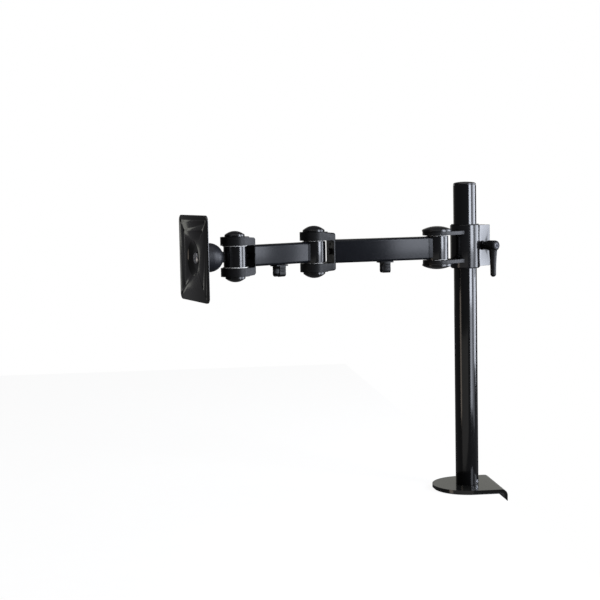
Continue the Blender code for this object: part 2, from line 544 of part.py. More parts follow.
def build_lever(collar_frame, stud_axis, lift_axis, steel, plastic, bright):
    """Ratchet lever: the stud clamps the ears, and the handle lifts off its spline to be set round."""
    nut_face = -EAR_FACE - GAP
    nut = hex_ring(NUT_RADIUS, STUD_RADIUS + GAP, nut_face - NUT_HEIGHT, nut_face)
    make_object("lever_nut", nut, collar_frame, bright, ALONG_Y, (-STUD_REACH, 0, 0))

    seat = EAR_FACE + GAP
    step = seat + LEVER_BOSS_HEIGHT
    spline = step + LEVER_SPLINE_HEIGHT
    tap = LEVER_SCREW_RADIUS + GAP
    tap_floor = step - 2 * MM
    end = nut_face - NUT_HEIGHT - 1.5 * MM
    stud = [(0, tap_floor), (tap, tap_floor), (tap, spline), (LEVER_SPLINE_RADIUS, spline),
            (LEVER_SPLINE_RADIUS, step), (LEVER_BOSS_RADIUS, step), (LEVER_BOSS_RADIUS, seat),
            (STUD_RADIUS, seat), (STUD_RADIUS, end), (0, end)]
    make_object("lever_stud", turned(stud, 14), stud_axis, steel, ALONG_Y)

    low = step + GAP
    high = low + LEVER_HUB_HEIGHT
    web = spline + 2 * GAP
    well = web + 2 * MM
    middle = low + LEVER_HUB_HEIGHT * 0.55
    handle = make_object("lever_handle", chamfered_rod(LEVER_HUB_RADIUS, low, high, 1.2 * MM, 18),
                         lift_axis, plastic, ALONG_Y)
    tip = [(math.sin(a) * LEVER_TIP_RADIUS, math.cos(a) * LEVER_TIP_RADIUS)
           for a in (math.radians(30 * i) for i in range(4))]
    reach = LEVER_LENGTH - LEVER_TIP_RADIUS
    arm = [(radius, reach + rise) for radius, rise in tip] + [(LEVER_ROOT_RADIUS, 4 * MM), (0, 4 * MM)]
    grip = turned(arm, 12)
    downward = Matrix.Rotation(math.radians(180), 3, 'X') @ Matrix.Rotation(math.radians(11), 3, 'Z')
    bmesh.ops.rotate(grip, cent=(0, 0, 0), matrix=downward, verts=grip.verts[:])
    add(handle, "lever_grip", grip, place=(0, middle, 0))
    cut(handle, "lever_handle_socket", rod(LEVER_SPLINE_RADIUS + GAP, low - WALL_MARGIN, web, 14), ALONG_Y)
    cut(handle, "lever_handle_eye", rod(tap, low, high), ALONG_Y)
    cut(handle, "lever_handle_well", rod(LEVER_SCREW_HEAD + GAP, well, high + WALL_MARGIN, 14), ALONG_Y)

    head_top = high - 0.3 * MM
    head_low = head_top - 2.8 * MM
    screw = turned([(0, head_top - 1.6 * MM), (1.8 * MM, head_top - 1.6 * MM), (1.8 * MM, head_top),
                    (LEVER_SCREW_HEAD, head_top), (LEVER_SCREW_HEAD, head_low), (LEVER_SCREW_RADIUS, head_low),
                    (LEVER_SCREW_RADIUS, tap_floor + GAP), (0, tap_floor + GAP)], 12)
    make_object("lever_screw", screw, stud_axis, bright, ALONG_Y)
    inner, outer = LEVER_SCREW_RADIUS + GAP, LEVER_SCREW_HEAD
    top = head_low - GAP
    spring = turned([(inner, top), (outer, top), (outer, top - LEVER_SPRING_HEIGHT),
                     (inner, top - LEVER_SPRING_HEIGHT)], 12, ring=True)
    make_object("lever_spring", spring, stud_axis, bright, ALONG_Y)


# ---------------------------------------------------------------- joints and arms

def build_pivot(name, frame, reach, hub_half, fork_outer, cap_radius, cap_height, washer_radius,
                plastic, bright, nylon):
    """Bolt, nut, two friction washers and two domed caps of an upright joint."""
    face = fork_outer + GAP
    bolt = turned([(0, face + PIVOT_HEAD_HEIGHT), (PIVOT_HEAD_RADIUS, face + PIVOT_HEAD_HEIGHT),
                   (PIVOT_HEAD_RADIUS, face), (PIVOT_RADIUS, face),
                   (PIVOT_RADIUS, -face - NUT_HEIGHT - 0.4 * MM), (0, -face - NUT_HEIGHT - 0.4 * MM)], 12)
    make_object(name + "_pivot", bolt, frame, bright, place=(reach, 0, 0))
    nut = hex_ring(PIVOT_HEAD_RADIUS, PIVOT_BORE, -face - NUT_HEIGHT, -face)
    make_object(name + "_nut", nut, frame, bright, place=(reach, 0, 0))
    roof = PIVOT_HEAD_HEIGHT + GAP
    crown = cap_height - CAP_RIM
    dome = [(cap_radius * math.sin(a), CAP_RIM + crown * math.cos(a))
            for a in (math.radians(30 * i) for i in range(4))]
    wall = cap_radius - CAP_SHELL
    clear = PIVOT_HEAD_RADIUS + GAP + 0.5 * MM
    for side, word in ((1, "upper"), (-1, "lower")):
        cap = dome + [(cap_radius, 0), (wall, 0), (wall, CAP_RIM * 0.7), (clear, roof), (0, roof)]
        shell = turned([(radius, side * (face + rise)) for radius, rise in cap], 20)
        make_object(name + "_cap_" + word, shell, frame, plastic, place=(reach, 0, 0))
        inner, outer = PIVOT_BORE, washer_radius
        low, high = hub_half + GAP, hub_half + GAP + WASHER_THICKNESS
        washer = turned([(inner, side * low), (outer, side * low), (outer, side * high), (inner, side * high)],
                        16, ring=True)
        make_object(name + "_washer_" + word, washer, frame, nylon, place=(reach, 0, 0))


def build_fork(name, frame, reach, ring, back, inner, plate, pin_height, casting, bright):
    """C-shaped casting screwed to an arm's end, whose two plates hold the next joint."""
    outer = inner + plate
    half = ring - FORK_NARROWING
    corner = (-back + FORK_CORNER, half - FORK_CORNER)
    outline = arc((0, 0), ring, -90, 90, 14)
    outline += arc(corner, FORK_CORNER, 90, 180, 4)
    outline += arc((corner[0], -corner[1]), FORK_CORNER, 180, 270, 4)
    fork = make_object(name + "_fork", raised(outline, -outer, outer), frame, casting, place=(reach, 0, 0))
    wall_inside = -back + FORK_WALL
    cut(fork, name + "_fork_gap",
        block((wall_inside, -ring - WALL_MARGIN, -inner), (ring + WALL_MARGIN, ring + WALL_MARGIN, inner)))
    cut(fork, name + "_fork_bore", rod(PIVOT_BORE, -outer - WALL_MARGIN, outer + WALL_MARGIN))
    span = (-back - WALL_MARGIN, wall_inside + WALL_MARGIN)
    cut(fork, name + "_fork_hole", rod(FORK_SCREW_RADIUS + GAP, *span), ALONG_X)
    cut(fork, name + "_fork_pin_hole", rod(FORK_PIN_RADIUS + GAP, *span, 12), ALONG_X, (0, 0, pin_height))

    seat = reach - back + FORK_WALL + GAP
    end = reach - back - INSERT_LENGTH + 3 * MM
    head = 3.0 * MM
    screw = turned([(0, seat + head), (FORK_SCREW_HEAD, seat + head), (FORK_SCREW_HEAD, seat),
                    (FORK_SCREW_RADIUS, seat), (FORK_SCREW_RADIUS, end), (0, end)], 12)
    make_object(name + "_fork_screw", screw, frame, bright, ALONG_X)
    pin = rod(FORK_PIN_RADIUS, end + 6 * MM, seat - 1.2 * MM, 12)
    make_object(name + "_fork_pin", pin, frame, bright, ALONG_X, (0, 0, pin_height))


def build_arm(name, frame, reach, back, height, width, clip_place, pin_height, steel, casting, plastic):
    """Hub casting, rectangular tube, end insert and cable clip of one arm."""
    half = height / 2 + HUB_PROUD
    bore_width, bore_height = width - 2 * TUBE_WALL, height - 2 * TUBE_WALL
    hub = make_object(name + "_hub", chamfered_rod(HUB_RADIUS, -half, half, 0.6 * MM, 24), frame, casting)
    neck = raised(rounded_rectangle(width, height, TUBE_CORNER), 0, NECK_REACH)
    add(hub, name + "_hub_neck", neck, ALONG_X)
    tongue = rounded_rectangle(bore_width - 2 * GAP, bore_height - 2 * GAP, TUBE_CORNER - TUBE_WALL)
    add(hub, name + "_hub_tongue", raised(tongue, NECK_REACH - WALL_MARGIN, NECK_REACH + TONGUE_LENGTH), ALONG_X)
    cut(hub, name + "_hub_bore", rod(PIVOT_BORE, -half - WALL_MARGIN, half + WALL_MARGIN))

    low, high = NECK_REACH + GAP, reach - back - GAP
    tube = raised_ring(rounded_rectangle(width, height, TUBE_CORNER),
                       rounded_rectangle(bore_width, bore_height, TUBE_CORNER - TUBE_WALL), low, high)
    make_object(name + "_tube", tube, frame, steel, ALONG_X)
    insert = make_object(name + "_insert", raised(tongue, high - INSERT_LENGTH, high), frame, casting, ALONG_X)
    span = (high - INSERT_LENGTH - WALL_MARGIN, high + WALL_MARGIN)
    cut(insert, name + "_insert_hole", rod(FORK_SCREW_RADIUS + GAP, *span), ALONG_X)
    cut(insert, name + "_insert_pin_hole", rod(FORK_PIN_RADIUS + GAP, *span, 12), ALONG_X, (0, 0, pin_height))

    top = -height / 2 - GAP
    base = rounded_rectangle(CLIP_WIDTH - 2 * MM, CLIP_BASE_HEIGHT, 0.6 * MM, 1)
    clip = make_object(name + "_cable_clip", raised(base, -CLIP_BASE / 2, CLIP_BASE / 2), frame, plastic,
                       ALONG_X, (clip_place, 0, top - CLIP_BASE_HEIGHT / 2))
    drop = CLIP_DROP - CLIP_BASE_HEIGHT / 2
    loop = raised(rounded_rectangle(CLIP_WIDTH, drop, 4 * MM, 3), -CLIP_LENGTH / 2, CLIP_LENGTH / 2)
    add(clip, name + "_clip_loop", loop, ALONG_X, (0, 0, -drop / 2))
    hollow = rounded_rectangle(CLIP_WIDTH - 2 * CLIP_WALL, drop - CLIP_BASE_HEIGHT / 2 - 2 * CLIP_WALL, 3 * MM)
    hollow = raised(hollow, -CLIP_LENGTH, CLIP_LENGTH)
    cut(clip, name + "_clip_hollow", hollow, ALONG_X, (0, 0, -drop / 2 - CLIP_BASE_HEIGHT / 4))
    slot_middle = -drop + CLIP_WALL / 2
    slot = block((-CLIP_LENGTH, -CLIP_SLOT / 2, slot_middle - CLIP_WALL), (CLIP_LENGTH, CLIP_SLOT / 2, slot_middle + CLIP_WALL))
    cut(clip, name + "_clip_slot", slot)


# ---------------------------------------------------------------- head

def build_head(wrist_axis, tilt_axis, screen_axis, casting, plastic, bright, nylon, steel):
    """Swivel hub with its lug, the yoke and dome that tilt on it, and the screen plate."""
    half = HEAD_HUB_HEIGHT / 2
    hub = make_object("head_hub", chamfered_rod(HEAD_HUB_RADIUS, -half, half, 0.6 * MM, 24), wrist_axis, casting)
    lug = [(0, -LUG_RADIUS)] + arc((TILT_REACH, 0), LUG_RADIUS, -90, 90, 10) + [(0, LUG_RADIUS)]
    lug_shape = raised([(z, x) for x, z in lug], -LUG_THICKNESS / 2, LUG_THICKNESS / 2)
    add(hub, "head_hub_lug", lug_shape, ALONG_Y)
    cut(hub, "head_hub_bore", rod(PIVOT_BORE, -half - WALL_MARGIN, half + WALL_MARGIN))
    eye = rod(TILT_PIN_RADIUS + GAP, -LUG_THICKNESS, LUG_THICKNESS)
    cut(hub, "head_hub_eye", eye, ALONG_Y, (TILT_REACH, 0, 0))

    inner = LUG_THICKNESS / 2 + GAP
    outer = inner + YOKE_CHEEK
    base = LUG_RADIUS + GAP + 0.7 * MM
    back = base + YOKE_BASE
    yoke = make_object("tilt_yoke", rod(YOKE_BASE_RADIUS, base, back, 20), tilt_axis, casting, ALONG_X)
    cheek = [(base + MM, -LUG_RADIUS)] + arc((0, 0), LUG_RADIUS, 270, 90, 10) + [(base + MM, LUG_RADIUS)]
    for side, word in ((1, "left"), (-1, "right")):
        low, high = sorted((side * inner, side * outer))
        add(yoke, "tilt_yoke_cheek_" + word, raised([(z, x) for x, z in cheek], low, high), ALONG_Y)
    cut(yoke, "tilt_yoke_eye", rod(TILT_PIN_RADIUS + GAP, -outer - WALL_MARGIN, outer + WALL_MARGIN), ALONG_Y)
    cut(yoke, "tilt_yoke_thread", rod(SCREEN_BOLT_RADIUS + GAP, base - WALL_MARGIN, back + WALL_MARGIN, 14), ALONG_X)
    head = outer + GAP
    pin = turned([(0, head + TILT_PIN_HEAD_HEIGHT), (TILT_PIN_HEAD, head + TILT_PIN_HEAD_HEIGHT),
                  (TILT_PIN_HEAD, head), (TILT_PIN_RADIUS, head), (TILT_PIN_RADIUS, -head - 2 * MM),
                  (0, -head - 2 * MM)], 12)
    make_object("tilt_pin", pin, tilt_axis, bright, ALONG_Y)

    ball = arc((0, 0), DOME_RADIUS, 180, 90, 5)
    hollow = arc((0, 0), DOME_RADIUS - DOME_WALL, 90, 180, 4)
    skirt = back - GAP
    profile = [(radius, reach) for reach, radius in ball] + [(DOME_RADIUS, skirt), (DOME_RADIUS - DOME_WALL, skirt)]
    profile += [(radius, reach) for reach, radius in hollow]
    profile[0] = (0, -DOME_RADIUS)
    profile[-1] = (0, -DOME_RADIUS + DOME_WALL)
    dome = make_object("tilt_dome", turned(profile, 24), tilt_axis, plastic, ALONG_X)
    swing = math.asin(LUG_RADIUS / (DOME_RADIUS - DOME_WALL)) + math.radians(TILT_LIMIT + 3)
    slot_half = (DOME_RADIUS - DOME_WALL) * math.sin(swing)
    slot = block((-DOME_RADIUS - WALL_MARGIN, -LUG_THICKNESS / 2 - GAP, -slot_half),
                 (-DOME_RADIUS * 0.4, LUG_THICKNESS / 2 + GAP, slot_half))
    cut(dome, "tilt_dome_slot", slot)

    face = back + GAP
    washer = turned([(SCREEN_BOLT_RADIUS + GAP, face), (SCREEN_WASHER_RADIUS, face),
                     (SCREEN_WASHER_RADIUS, face + WASHER_THICKNESS),
                     (SCREEN_BOLT_RADIUS + GAP, face + WASHER_THICKNESS)], 16, ring=True)
    make_object("screen_washer", washer, tilt_axis, nylon, ALONG_X)
    dish_back = face + WASHER_THICKNESS + GAP
    dish_front = dish_back + SCREEN_PLATE_THICKNESS
    seat = dish_front + GAP
    bolt = turned([(0, seat + SCREEN_BOLT_HEAD_HEIGHT), (SCREEN_BOLT_HEAD * 0.7, seat + SCREEN_BOLT_HEAD_HEIGHT),
                   (SCREEN_BOLT_HEAD, seat + SCREEN_BOLT_HEAD_HEIGHT * 0.4), (SCREEN_BOLT_HEAD, seat),
                   (SCREEN_BOLT_RADIUS, seat), (SCREEN_BOLT_RADIUS, base + GAP), (0, base + GAP)], 14)
    make_object("screen_bolt", bolt, tilt_axis, bright, ALONG_X)

    plate_back = dish_back + DISH_DEPTH
    plate_front = plate_back + SCREEN_PLATE_THICKNESS
    square = rounded_rectangle(PLATE_SIDE, PLATE_SIDE, SCREEN_PLATE_CORNER, 4)
    plate = make_object("screen_plate", raised(square, plate_back, plate_front), screen_axis, steel, ALONG_X)
    slope = SCREEN_PLATE_THICKNESS * 0.6
    inside = 0.8 * MM
    dish = [(0, plate_front - inside), (DISH_RIM_RADIUS, plate_front - inside),
            (DISH_RIM_RADIUS, plate_back + inside), (DISH_FLOOR_RADIUS, dish_back), (0, dish_back)]
    add(plate, "screen_plate_dish", turned(dish, 24), ALONG_X)
    hollow = [(0, plate_front + WALL_MARGIN), (DISH_RIM_RADIUS - slope, plate_front + WALL_MARGIN),
              (DISH_RIM_RADIUS - slope, plate_front), (DISH_FLOOR_RADIUS - slope, dish_front), (0, dish_front)]
    cut(plate, "screen_plate_hollow", turned(hollow, 24), ALONG_X)
    cut(plate, "screen_plate_bore",
        rod(SCREEN_BOLT_RADIUS + GAP, dish_back - WALL_MARGIN, dish_front + WALL_MARGIN), ALONG_X)
    for spacing in HOLE_PATTERNS:
        for side_y in (-1, 1):
            for side_z in (-1, 1):
                hole = rod(HOLE_RADIUS, plate_back - WALL_MARGIN, plate_front + WALL_MARGIN, 8)
                cut(plate, "screen_plate_hole", hole, ALONG_X, (0, side_y * spacing / 2, side_z * spacing / 2))


def main():
    clear_scene()
    steel = make_material("black_steel", (0.014, 0.014, 0.016), 0.25, 0.0)
    casting = make_material("black_casting", (0.017, 0.017, 0.020), 0.38, 0.0)
    plastic = make_material("black_plastic", (0.012, 0.012, 0.013), 0.5, 0.0)
    bright = make_material("zinc_steel", (0.55, 0.56, 0.58), 0.35, 1.0)
    nylon = make_material("white_nylon", (0.75, 0.74, 0.70), 0.5, 0.0)
    rubber = make_material("black_rubber", (0.02, 0.02, 0.02), 0.85, 0.0)

    base = make_axis("base_frame", None, (0, 0, 0))
    build_desk_pad(base, rubber)
    build_base_plate(base, steel)
    build_post(base, steel, plastic, bright)
    foot_axis = make_axis("pressure_foot_axis", base, (0, 0, 0))
    screw_axis = make_axis("clamp_screw_axis", foot_axis, (0, 0, 0))
    build_clamp(base, foot_axis, screw_axis, steel, bright, rubber, plastic)

    slide_axis = make_axis("slide_axis", base, (0, 0, ARM_HEIGHT), BRACKET_HEADING)
    build_sleeve(slide_axis, plastic)
    collar_axis = make_axis("collar_axis", slide_axis, (0, 0, 0))
    build_collar(collar_axis, casting)
    stud_axis = make_axis("lever_stud_axis", collar_axis, (-STUD_REACH, 0, 0))
    lift_axis = make_axis("lever_lift_axis", stud_axis, (0, 0, 0))
    build_lever(collar_axis, stud_axis, lift_axis, steel, plastic, bright)
    shoulder_inner = INNER_TUBE_HEIGHT / 2 + JOINT_ROOM
    build_pivot("shoulder", collar_axis, BRACKET_REACH, INNER_TUBE_HEIGHT / 2 + HUB_PROUD,
                shoulder_inner + BRACKET_PLATE, SHOULDER_CAP_RADIUS, SHOULDER_CAP_HEIGHT, HUB_RADIUS - WASHER_INSET,
                plastic, bright, nylon)

    shoulder_axis = make_axis("shoulder_axis", collar_axis, (BRACKET_REACH, 0, 0),
                              INNER_ARM_HEADING - BRACKET_HEADING)
    inner_pin = INNER_TUBE_HEIGHT * FORK_PIN_RISE
    build_arm("inner_arm", shoulder_axis, INNER_ARM_REACH, ELBOW_BACK, INNER_TUBE_HEIGHT, INNER_TUBE_WIDTH,
              INNER_CLIP_PLACE, inner_pin - 2 * MM, steel, casting, plastic)
    elbow_inner = OUTER_TUBE_HEIGHT / 2 + JOINT_ROOM
    build_fork("elbow", shoulder_axis, INNER_ARM_REACH, ELBOW_RING, ELBOW_BACK, elbow_inner, ELBOW_PLATE,
               inner_pin - 2 * MM, casting, bright)
    build_pivot("elbow", shoulder_axis, INNER_ARM_REACH, OUTER_TUBE_HEIGHT / 2 + HUB_PROUD,
                elbow_inner + ELBOW_PLATE, ELBOW_CAP_RADIUS, ELBOW_CAP_HEIGHT, HUB_RADIUS - WASHER_INSET,
                plastic, bright, nylon)

    elbow_axis = make_axis("elbow_axis", shoulder_axis, (INNER_ARM_REACH, 0, 0),
                           OUTER_ARM_HEADING - INNER_ARM_HEADING)
    outer_pin = OUTER_TUBE_HEIGHT * FORK_PIN_RISE
    build_arm("outer_arm", elbow_axis, OUTER_ARM_REACH, WRIST_BACK, OUTER_TUBE_HEIGHT, OUTER_TUBE_WIDTH,
              OUTER_CLIP_PLACE, outer_pin - 2 * MM, steel, casting, plastic)
    wrist_inner = HEAD_HUB_HEIGHT / 2 + WASHER_THICKNESS + 2 * GAP
    build_fork("wrist", elbow_axis, OUTER_ARM_REACH, WRIST_RING, WRIST_BACK, wrist_inner, WRIST_PLATE,
               outer_pin - 2 * MM, casting, bright)
    build_pivot("wrist", elbow_axis, OUTER_ARM_REACH, HEAD_HUB_HEIGHT / 2, wrist_inner + WRIST_PLATE,
                WRIST_CAP_RADIUS, WRIST_CAP_HEIGHT, HEAD_HUB_RADIUS + WASHER_SHOW, plastic, bright, nylon)

    wrist_axis = make_axis("wrist_axis", elbow_axis, (OUTER_ARM_REACH, 0, 0), SCREEN_HEADING - OUTER_ARM_HEADING)
    tilt_axis = make_axis("tilt_axis", wrist_axis, (TILT_REACH, 0, 0))
    screen_axis = make_axis("screen_axis", tilt_axis, (0, 0, 0))
    build_head(wrist_axis, tilt_axis, screen_axis, casting, plastic, bright, nylon, steel)
    bpy.context.view_layer.update()


main()
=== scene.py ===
"""Looks of a desk monitor arm: post on a bent base plate, split collar with its clamping lever,
two swivelling arms with forked joints, and the tilting head that carries the screen plate.

Every piece is modelled in millimetres in the frame of its own joint, where local +X runs to the next
joint and +Z is up, and is then set down in the model's frame.
"""
import json
import math

import bmesh
import bpy
from mathutils import Matrix, Vector


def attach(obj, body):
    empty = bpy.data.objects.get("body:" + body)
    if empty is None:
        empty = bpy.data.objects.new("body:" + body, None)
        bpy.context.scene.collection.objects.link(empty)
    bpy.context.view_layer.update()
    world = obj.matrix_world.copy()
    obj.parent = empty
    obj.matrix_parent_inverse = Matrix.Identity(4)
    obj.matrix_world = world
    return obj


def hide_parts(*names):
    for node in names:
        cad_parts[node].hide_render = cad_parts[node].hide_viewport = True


MM = 0.001
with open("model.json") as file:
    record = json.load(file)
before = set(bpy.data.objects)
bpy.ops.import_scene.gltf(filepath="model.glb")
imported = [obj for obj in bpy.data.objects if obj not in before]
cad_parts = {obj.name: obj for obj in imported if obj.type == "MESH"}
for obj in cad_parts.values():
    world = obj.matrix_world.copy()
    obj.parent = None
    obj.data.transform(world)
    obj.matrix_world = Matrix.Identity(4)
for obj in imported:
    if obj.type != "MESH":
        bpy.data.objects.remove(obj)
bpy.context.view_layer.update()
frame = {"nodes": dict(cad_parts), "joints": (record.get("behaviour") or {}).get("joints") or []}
joints = {joint["name"]: joint for joint in frame["joints"]}

# Sizes in millimetres that more than one piece needs
STEEL = 5.0          # thickness of the base plate and the lower jaw
BEND = 9.0           # outer radius of their bends
PIVOT_BORE = 5.3     # bore for the bolt of an upright joint
STUD_BORE = 4.3      # bore for the lever's stud, the screen's bolt and the jaw's bolts
SCREW_BORE = 5.1     # bore for the clamp screw
PIN_BORE = 3.3       # bore for the tilt pin and for a tube's screw
TUBE_CORNER = 4.0    # outer radius of a tube's corners
LUG_HALF = 4.0       # half the thickness of the lug that the head tilts on
LUG_RADIUS = 7.5
GAP = 0.3            # between pieces that lie against each other
TILT_SWING = 18.5    # degrees of tilt each way that the dome's slot clears


# ---------------------------------------------------------------- places

def upright(origin, direction):
    """Frame at a point, +Z up and +X along a level direction."""
    x = Vector((direction[0], direction[1], 0)).normalized()
    y = Vector((0, 0, 1)).cross(x)
    turn = Matrix((x, y, (0, 0, 1))).transposed().to_4x4()
    return Matrix.Translation(origin) @ turn


def joint_point(name):
    return Vector(joints[name]["pos_m"])


shoulder, elbow, wrist, tilt = (joint_point(name) for name in ("shoulder", "elbow", "wrist", "tilt"))
screen_way = Vector(joints["screen_turn"]["axis"])
stud_way = Vector(joints["lever_turn"]["axis"])
on_post = Matrix.Identity(4)
on_collar = upright((0, 0, shoulder.z), shoulder)
on_shoulder = upright(shoulder, shoulder)
on_inner_arm = upright(shoulder, elbow - shoulder)
on_elbow = upright(elbow, elbow - shoulder)
on_outer_arm = upright(elbow, wrist - elbow)
on_wrist = upright(wrist, wrist - elbow)
on_head = upright(wrist, screen_way)
on_tilt = upright(tilt, screen_way)
on_stud = upright(joint_point("lever_turn"), shoulder)     # the stud lies along local +Y
lay_x = Matrix(((0, 0, 1), (1, 0, 0), (0, 1, 0))).to_4x4()       # a piece turned about Z is laid along X
lay_y = Matrix(((0, 1, 0), (0, 0, 1), (1, 0, 0))).to_4x4()       # and along Y


def measure(node, place):
    """Lowest and highest corner of a CAD node in a joint's frame, in millimetres."""
    back = place.inverted()
    points = [back @ vertex.co for vertex in frame["nodes"][node].data.vertices]
    low = Vector([min(point[i] for point in points) / MM for i in range(3)])
    high = Vector([max(point[i] for point in points) / MM for i in range(3)])
    return low, high


# ---------------------------------------------------------------- bench work

def clear_selection():
    if bpy.context.object and bpy.context.object.mode == 'EDIT':
        bpy.ops.object.mode_set(mode='OBJECT')
    bpy.ops.object.select_all(action='DESELECT')


def take(piece):
    """Make one piece the selected one."""
    clear_selection()
    piece.select_set(True)
    bpy.context.view_layer.objects.active = piece
    return piece


def added(name):
    piece = bpy.context.object
    piece.name = piece.data.name = name
    return piece


def apply_place(piece, place=None):
    """Write a piece's place, turn and size into its mesh."""
    take(piece)
    if place is not None:
        piece.matrix_world = place @ piece.matrix_world
    bpy.ops.object.transform_apply(location=True, rotation=True, scale=True)
    return piece


def block(name, low, high):
    """Box between two corners, in millimetres."""
    clear_selection()
    low, high = Vector(low), Vector(high)
    bpy.ops.mesh.primitive_cube_add(size=1, location=(low + high) / 2 * MM, scale=(high - low) * MM)
    return apply_place(added(name))


def turned(name, profile, sides=64, ring=False):
    """Lathe work about Z: a disc or ring drawn out through (radius, height) steps in millimetres."""
    clear_selection()
    radius, height = profile[0]
    bpy.ops.mesh.primitive_circle_add(vertices=sides, radius=radius * MM, location=(0, 0, height * MM),
                                      fill_type='NOTHING' if ring else 'NGON')
    piece = added(name)
    bpy.ops.object.mode_set(mode='EDIT')
    bpy.ops.mesh.select_all(action='SELECT')
    for next_radius, next_height in profile[1:] + (profile[:1] if ring else []):
        bpy.ops.mesh.extrude_region_move(
            TRANSFORM_OT_translate={"value": (0, 0, (next_height - height) * MM)})
        if next_radius == 0:
            bpy.ops.mesh.merge(type='CENTER')
        elif abs(next_radius - radius) > 1e-6:
            share = next_radius / radius
            bpy.ops.transform.resize(value=(share, share, 1), center_override=(0, 0, next_height * MM))
        radius, height = next_radius, next_height
    bpy.ops.mesh.select_all(action='SELECT')
    bpy.ops.mesh.remove_doubles(threshold=1e-6)
    bpy.ops.mesh.normals_make_consistent(inside=False)
    return apply_place(piece)


def rod(name, radius, low, high, sides=48):
    """Plain round bar about Z."""
    return turned(name, [(radius, low), (radius, high)], sides)

def rounding(radius, height, rise, degrees):
    """Lathe points round a curve whose middle is at a height, one for each angle."""
    angles = [math.radians(angle) for angle in degrees]
    return [(radius * math.cos(angle), height + rise * math.sin(angle)) for angle in angles]

def washer(name, bore, radius, low, high, sides):
    """Flat ring about Z."""
    return turned(name, [(bore, low), (radius, low), (radius, high), (bore, high)], sides, ring=True)


def open_mesh(piece, kind):
    """Enter edit mode with nothing selected, to pick faces or edges by their place."""
    take(piece)
    bpy.ops.object.mode_set(mode='EDIT')
    bpy.ops.mesh.select_mode(type=kind)
    bpy.ops.mesh.select_all(action='DESELECT')
    return bmesh.from_edit_mesh(piece.data)


def pick_faces(piece, wanted):
    """Select the faces whose middle (in millimetres) and normal pass a test, and stay in edit mode."""
    mesh = open_mesh(piece, 'FACE')
    for face in mesh.faces:
        if wanted(face.calc_center_median() / MM, face.normal):
            face.select_set(True)
    bmesh.update_edit_mesh(piece.data)


def round_edges(piece, radius, wanted, steps=6):
    """Bevel the edges whose two ends (in millimetres) pass a test."""
    mesh = open_mesh(piece, 'EDGE')
    for edge in mesh.edges:
        if wanted(edge.verts[0].co / MM, edge.verts[1].co / MM):
            edge.select_set(True)
    bmesh.update_edit_mesh(piece.data)
    bpy.ops.mesh.bevel(offset=radius * MM, segments=steps, affect='EDGES')
    bpy.ops.object.mode_set(mode='OBJECT')
    return piece


def along(axis):
    """Test for edges that run along one axis."""
    return lambda a, b: abs((b - a).normalized()[axis]) > 0.999


def apply_modifier(piece, kind, **settings):
    take(piece)
    step = piece.modifiers.new(kind.lower(), kind)
    for key, value in settings.items():
        setattr(step, key, value)
    bpy.ops.object.modifier_apply(modifier=step.name)
    return piece


def joined(piece, *tools, how='UNION'):
    """Boolean each tool into a piece and throw the tool away."""
    for tool in tools:
        apply_modifier(piece, 'BOOLEAN', operation=how, solver='EXACT', object=tool)
        bpy.data.objects.remove(tool, do_unlink=True)
    return piece


def carved(piece, *tools):
    return joined(piece, *tools, how='DIFFERENCE')


def softened(piece, width=0.5, steps=3, angle=32):
    """Break the sharp edges with a small round."""
    return apply_modifier(piece, 'BEVEL', width=width * MM, segments=steps, limit_method='ANGLE',
                          angle_limit=math.radians(angle), use_clamp_overlap=True, miter_outer='MITER_ARC')


def moved(piece, x=0, y=0, z=0):
    return apply_place(piece, Matrix.Translation(Vector((x, y, z)) * MM))


def laid(piece, way):
    return apply_place(piece, way)


def set_down(piece, place, body, slot, finish, *nodes, smooth=38):
    """Put a finished piece in its place in the model, on its body, for the nodes that it stands for."""
    apply_place(piece, place)
    bpy.ops.object.shade_smooth_by_angle(angle=math.radians(smooth))
    piece.data.materials.clear()
    piece.data.materials.append(finish)
    if nodes:
        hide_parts(*nodes)
    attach(piece, body)
    return piece


# ---------------------------------------------------------------- finishes

class Wire:
    """An output socket that takes part in sums."""

    def __init__(self, finish, socket):
        self.finish, self.socket = finish, socket

    def sum(self, operation, *others):
        return self.finish.node('ShaderNodeMath', {"operation": operation}, self, *others)

    def __add__(self, other):
        return self.sum('ADD', other)

    def __mul__(self, other):
        return self.sum('MULTIPLY', other)

    def __sub__(self, other):
        return self.sum('SUBTRACT', other)

    def __rsub__(self, other):
        return self.finish.node('ShaderNodeMath', {"operation": 'SUBTRACT'}, other, self)

    def __pow__(self, other):
        return self.sum('POWER', other)

    __radd__, __rmul__ = __add__, __mul__


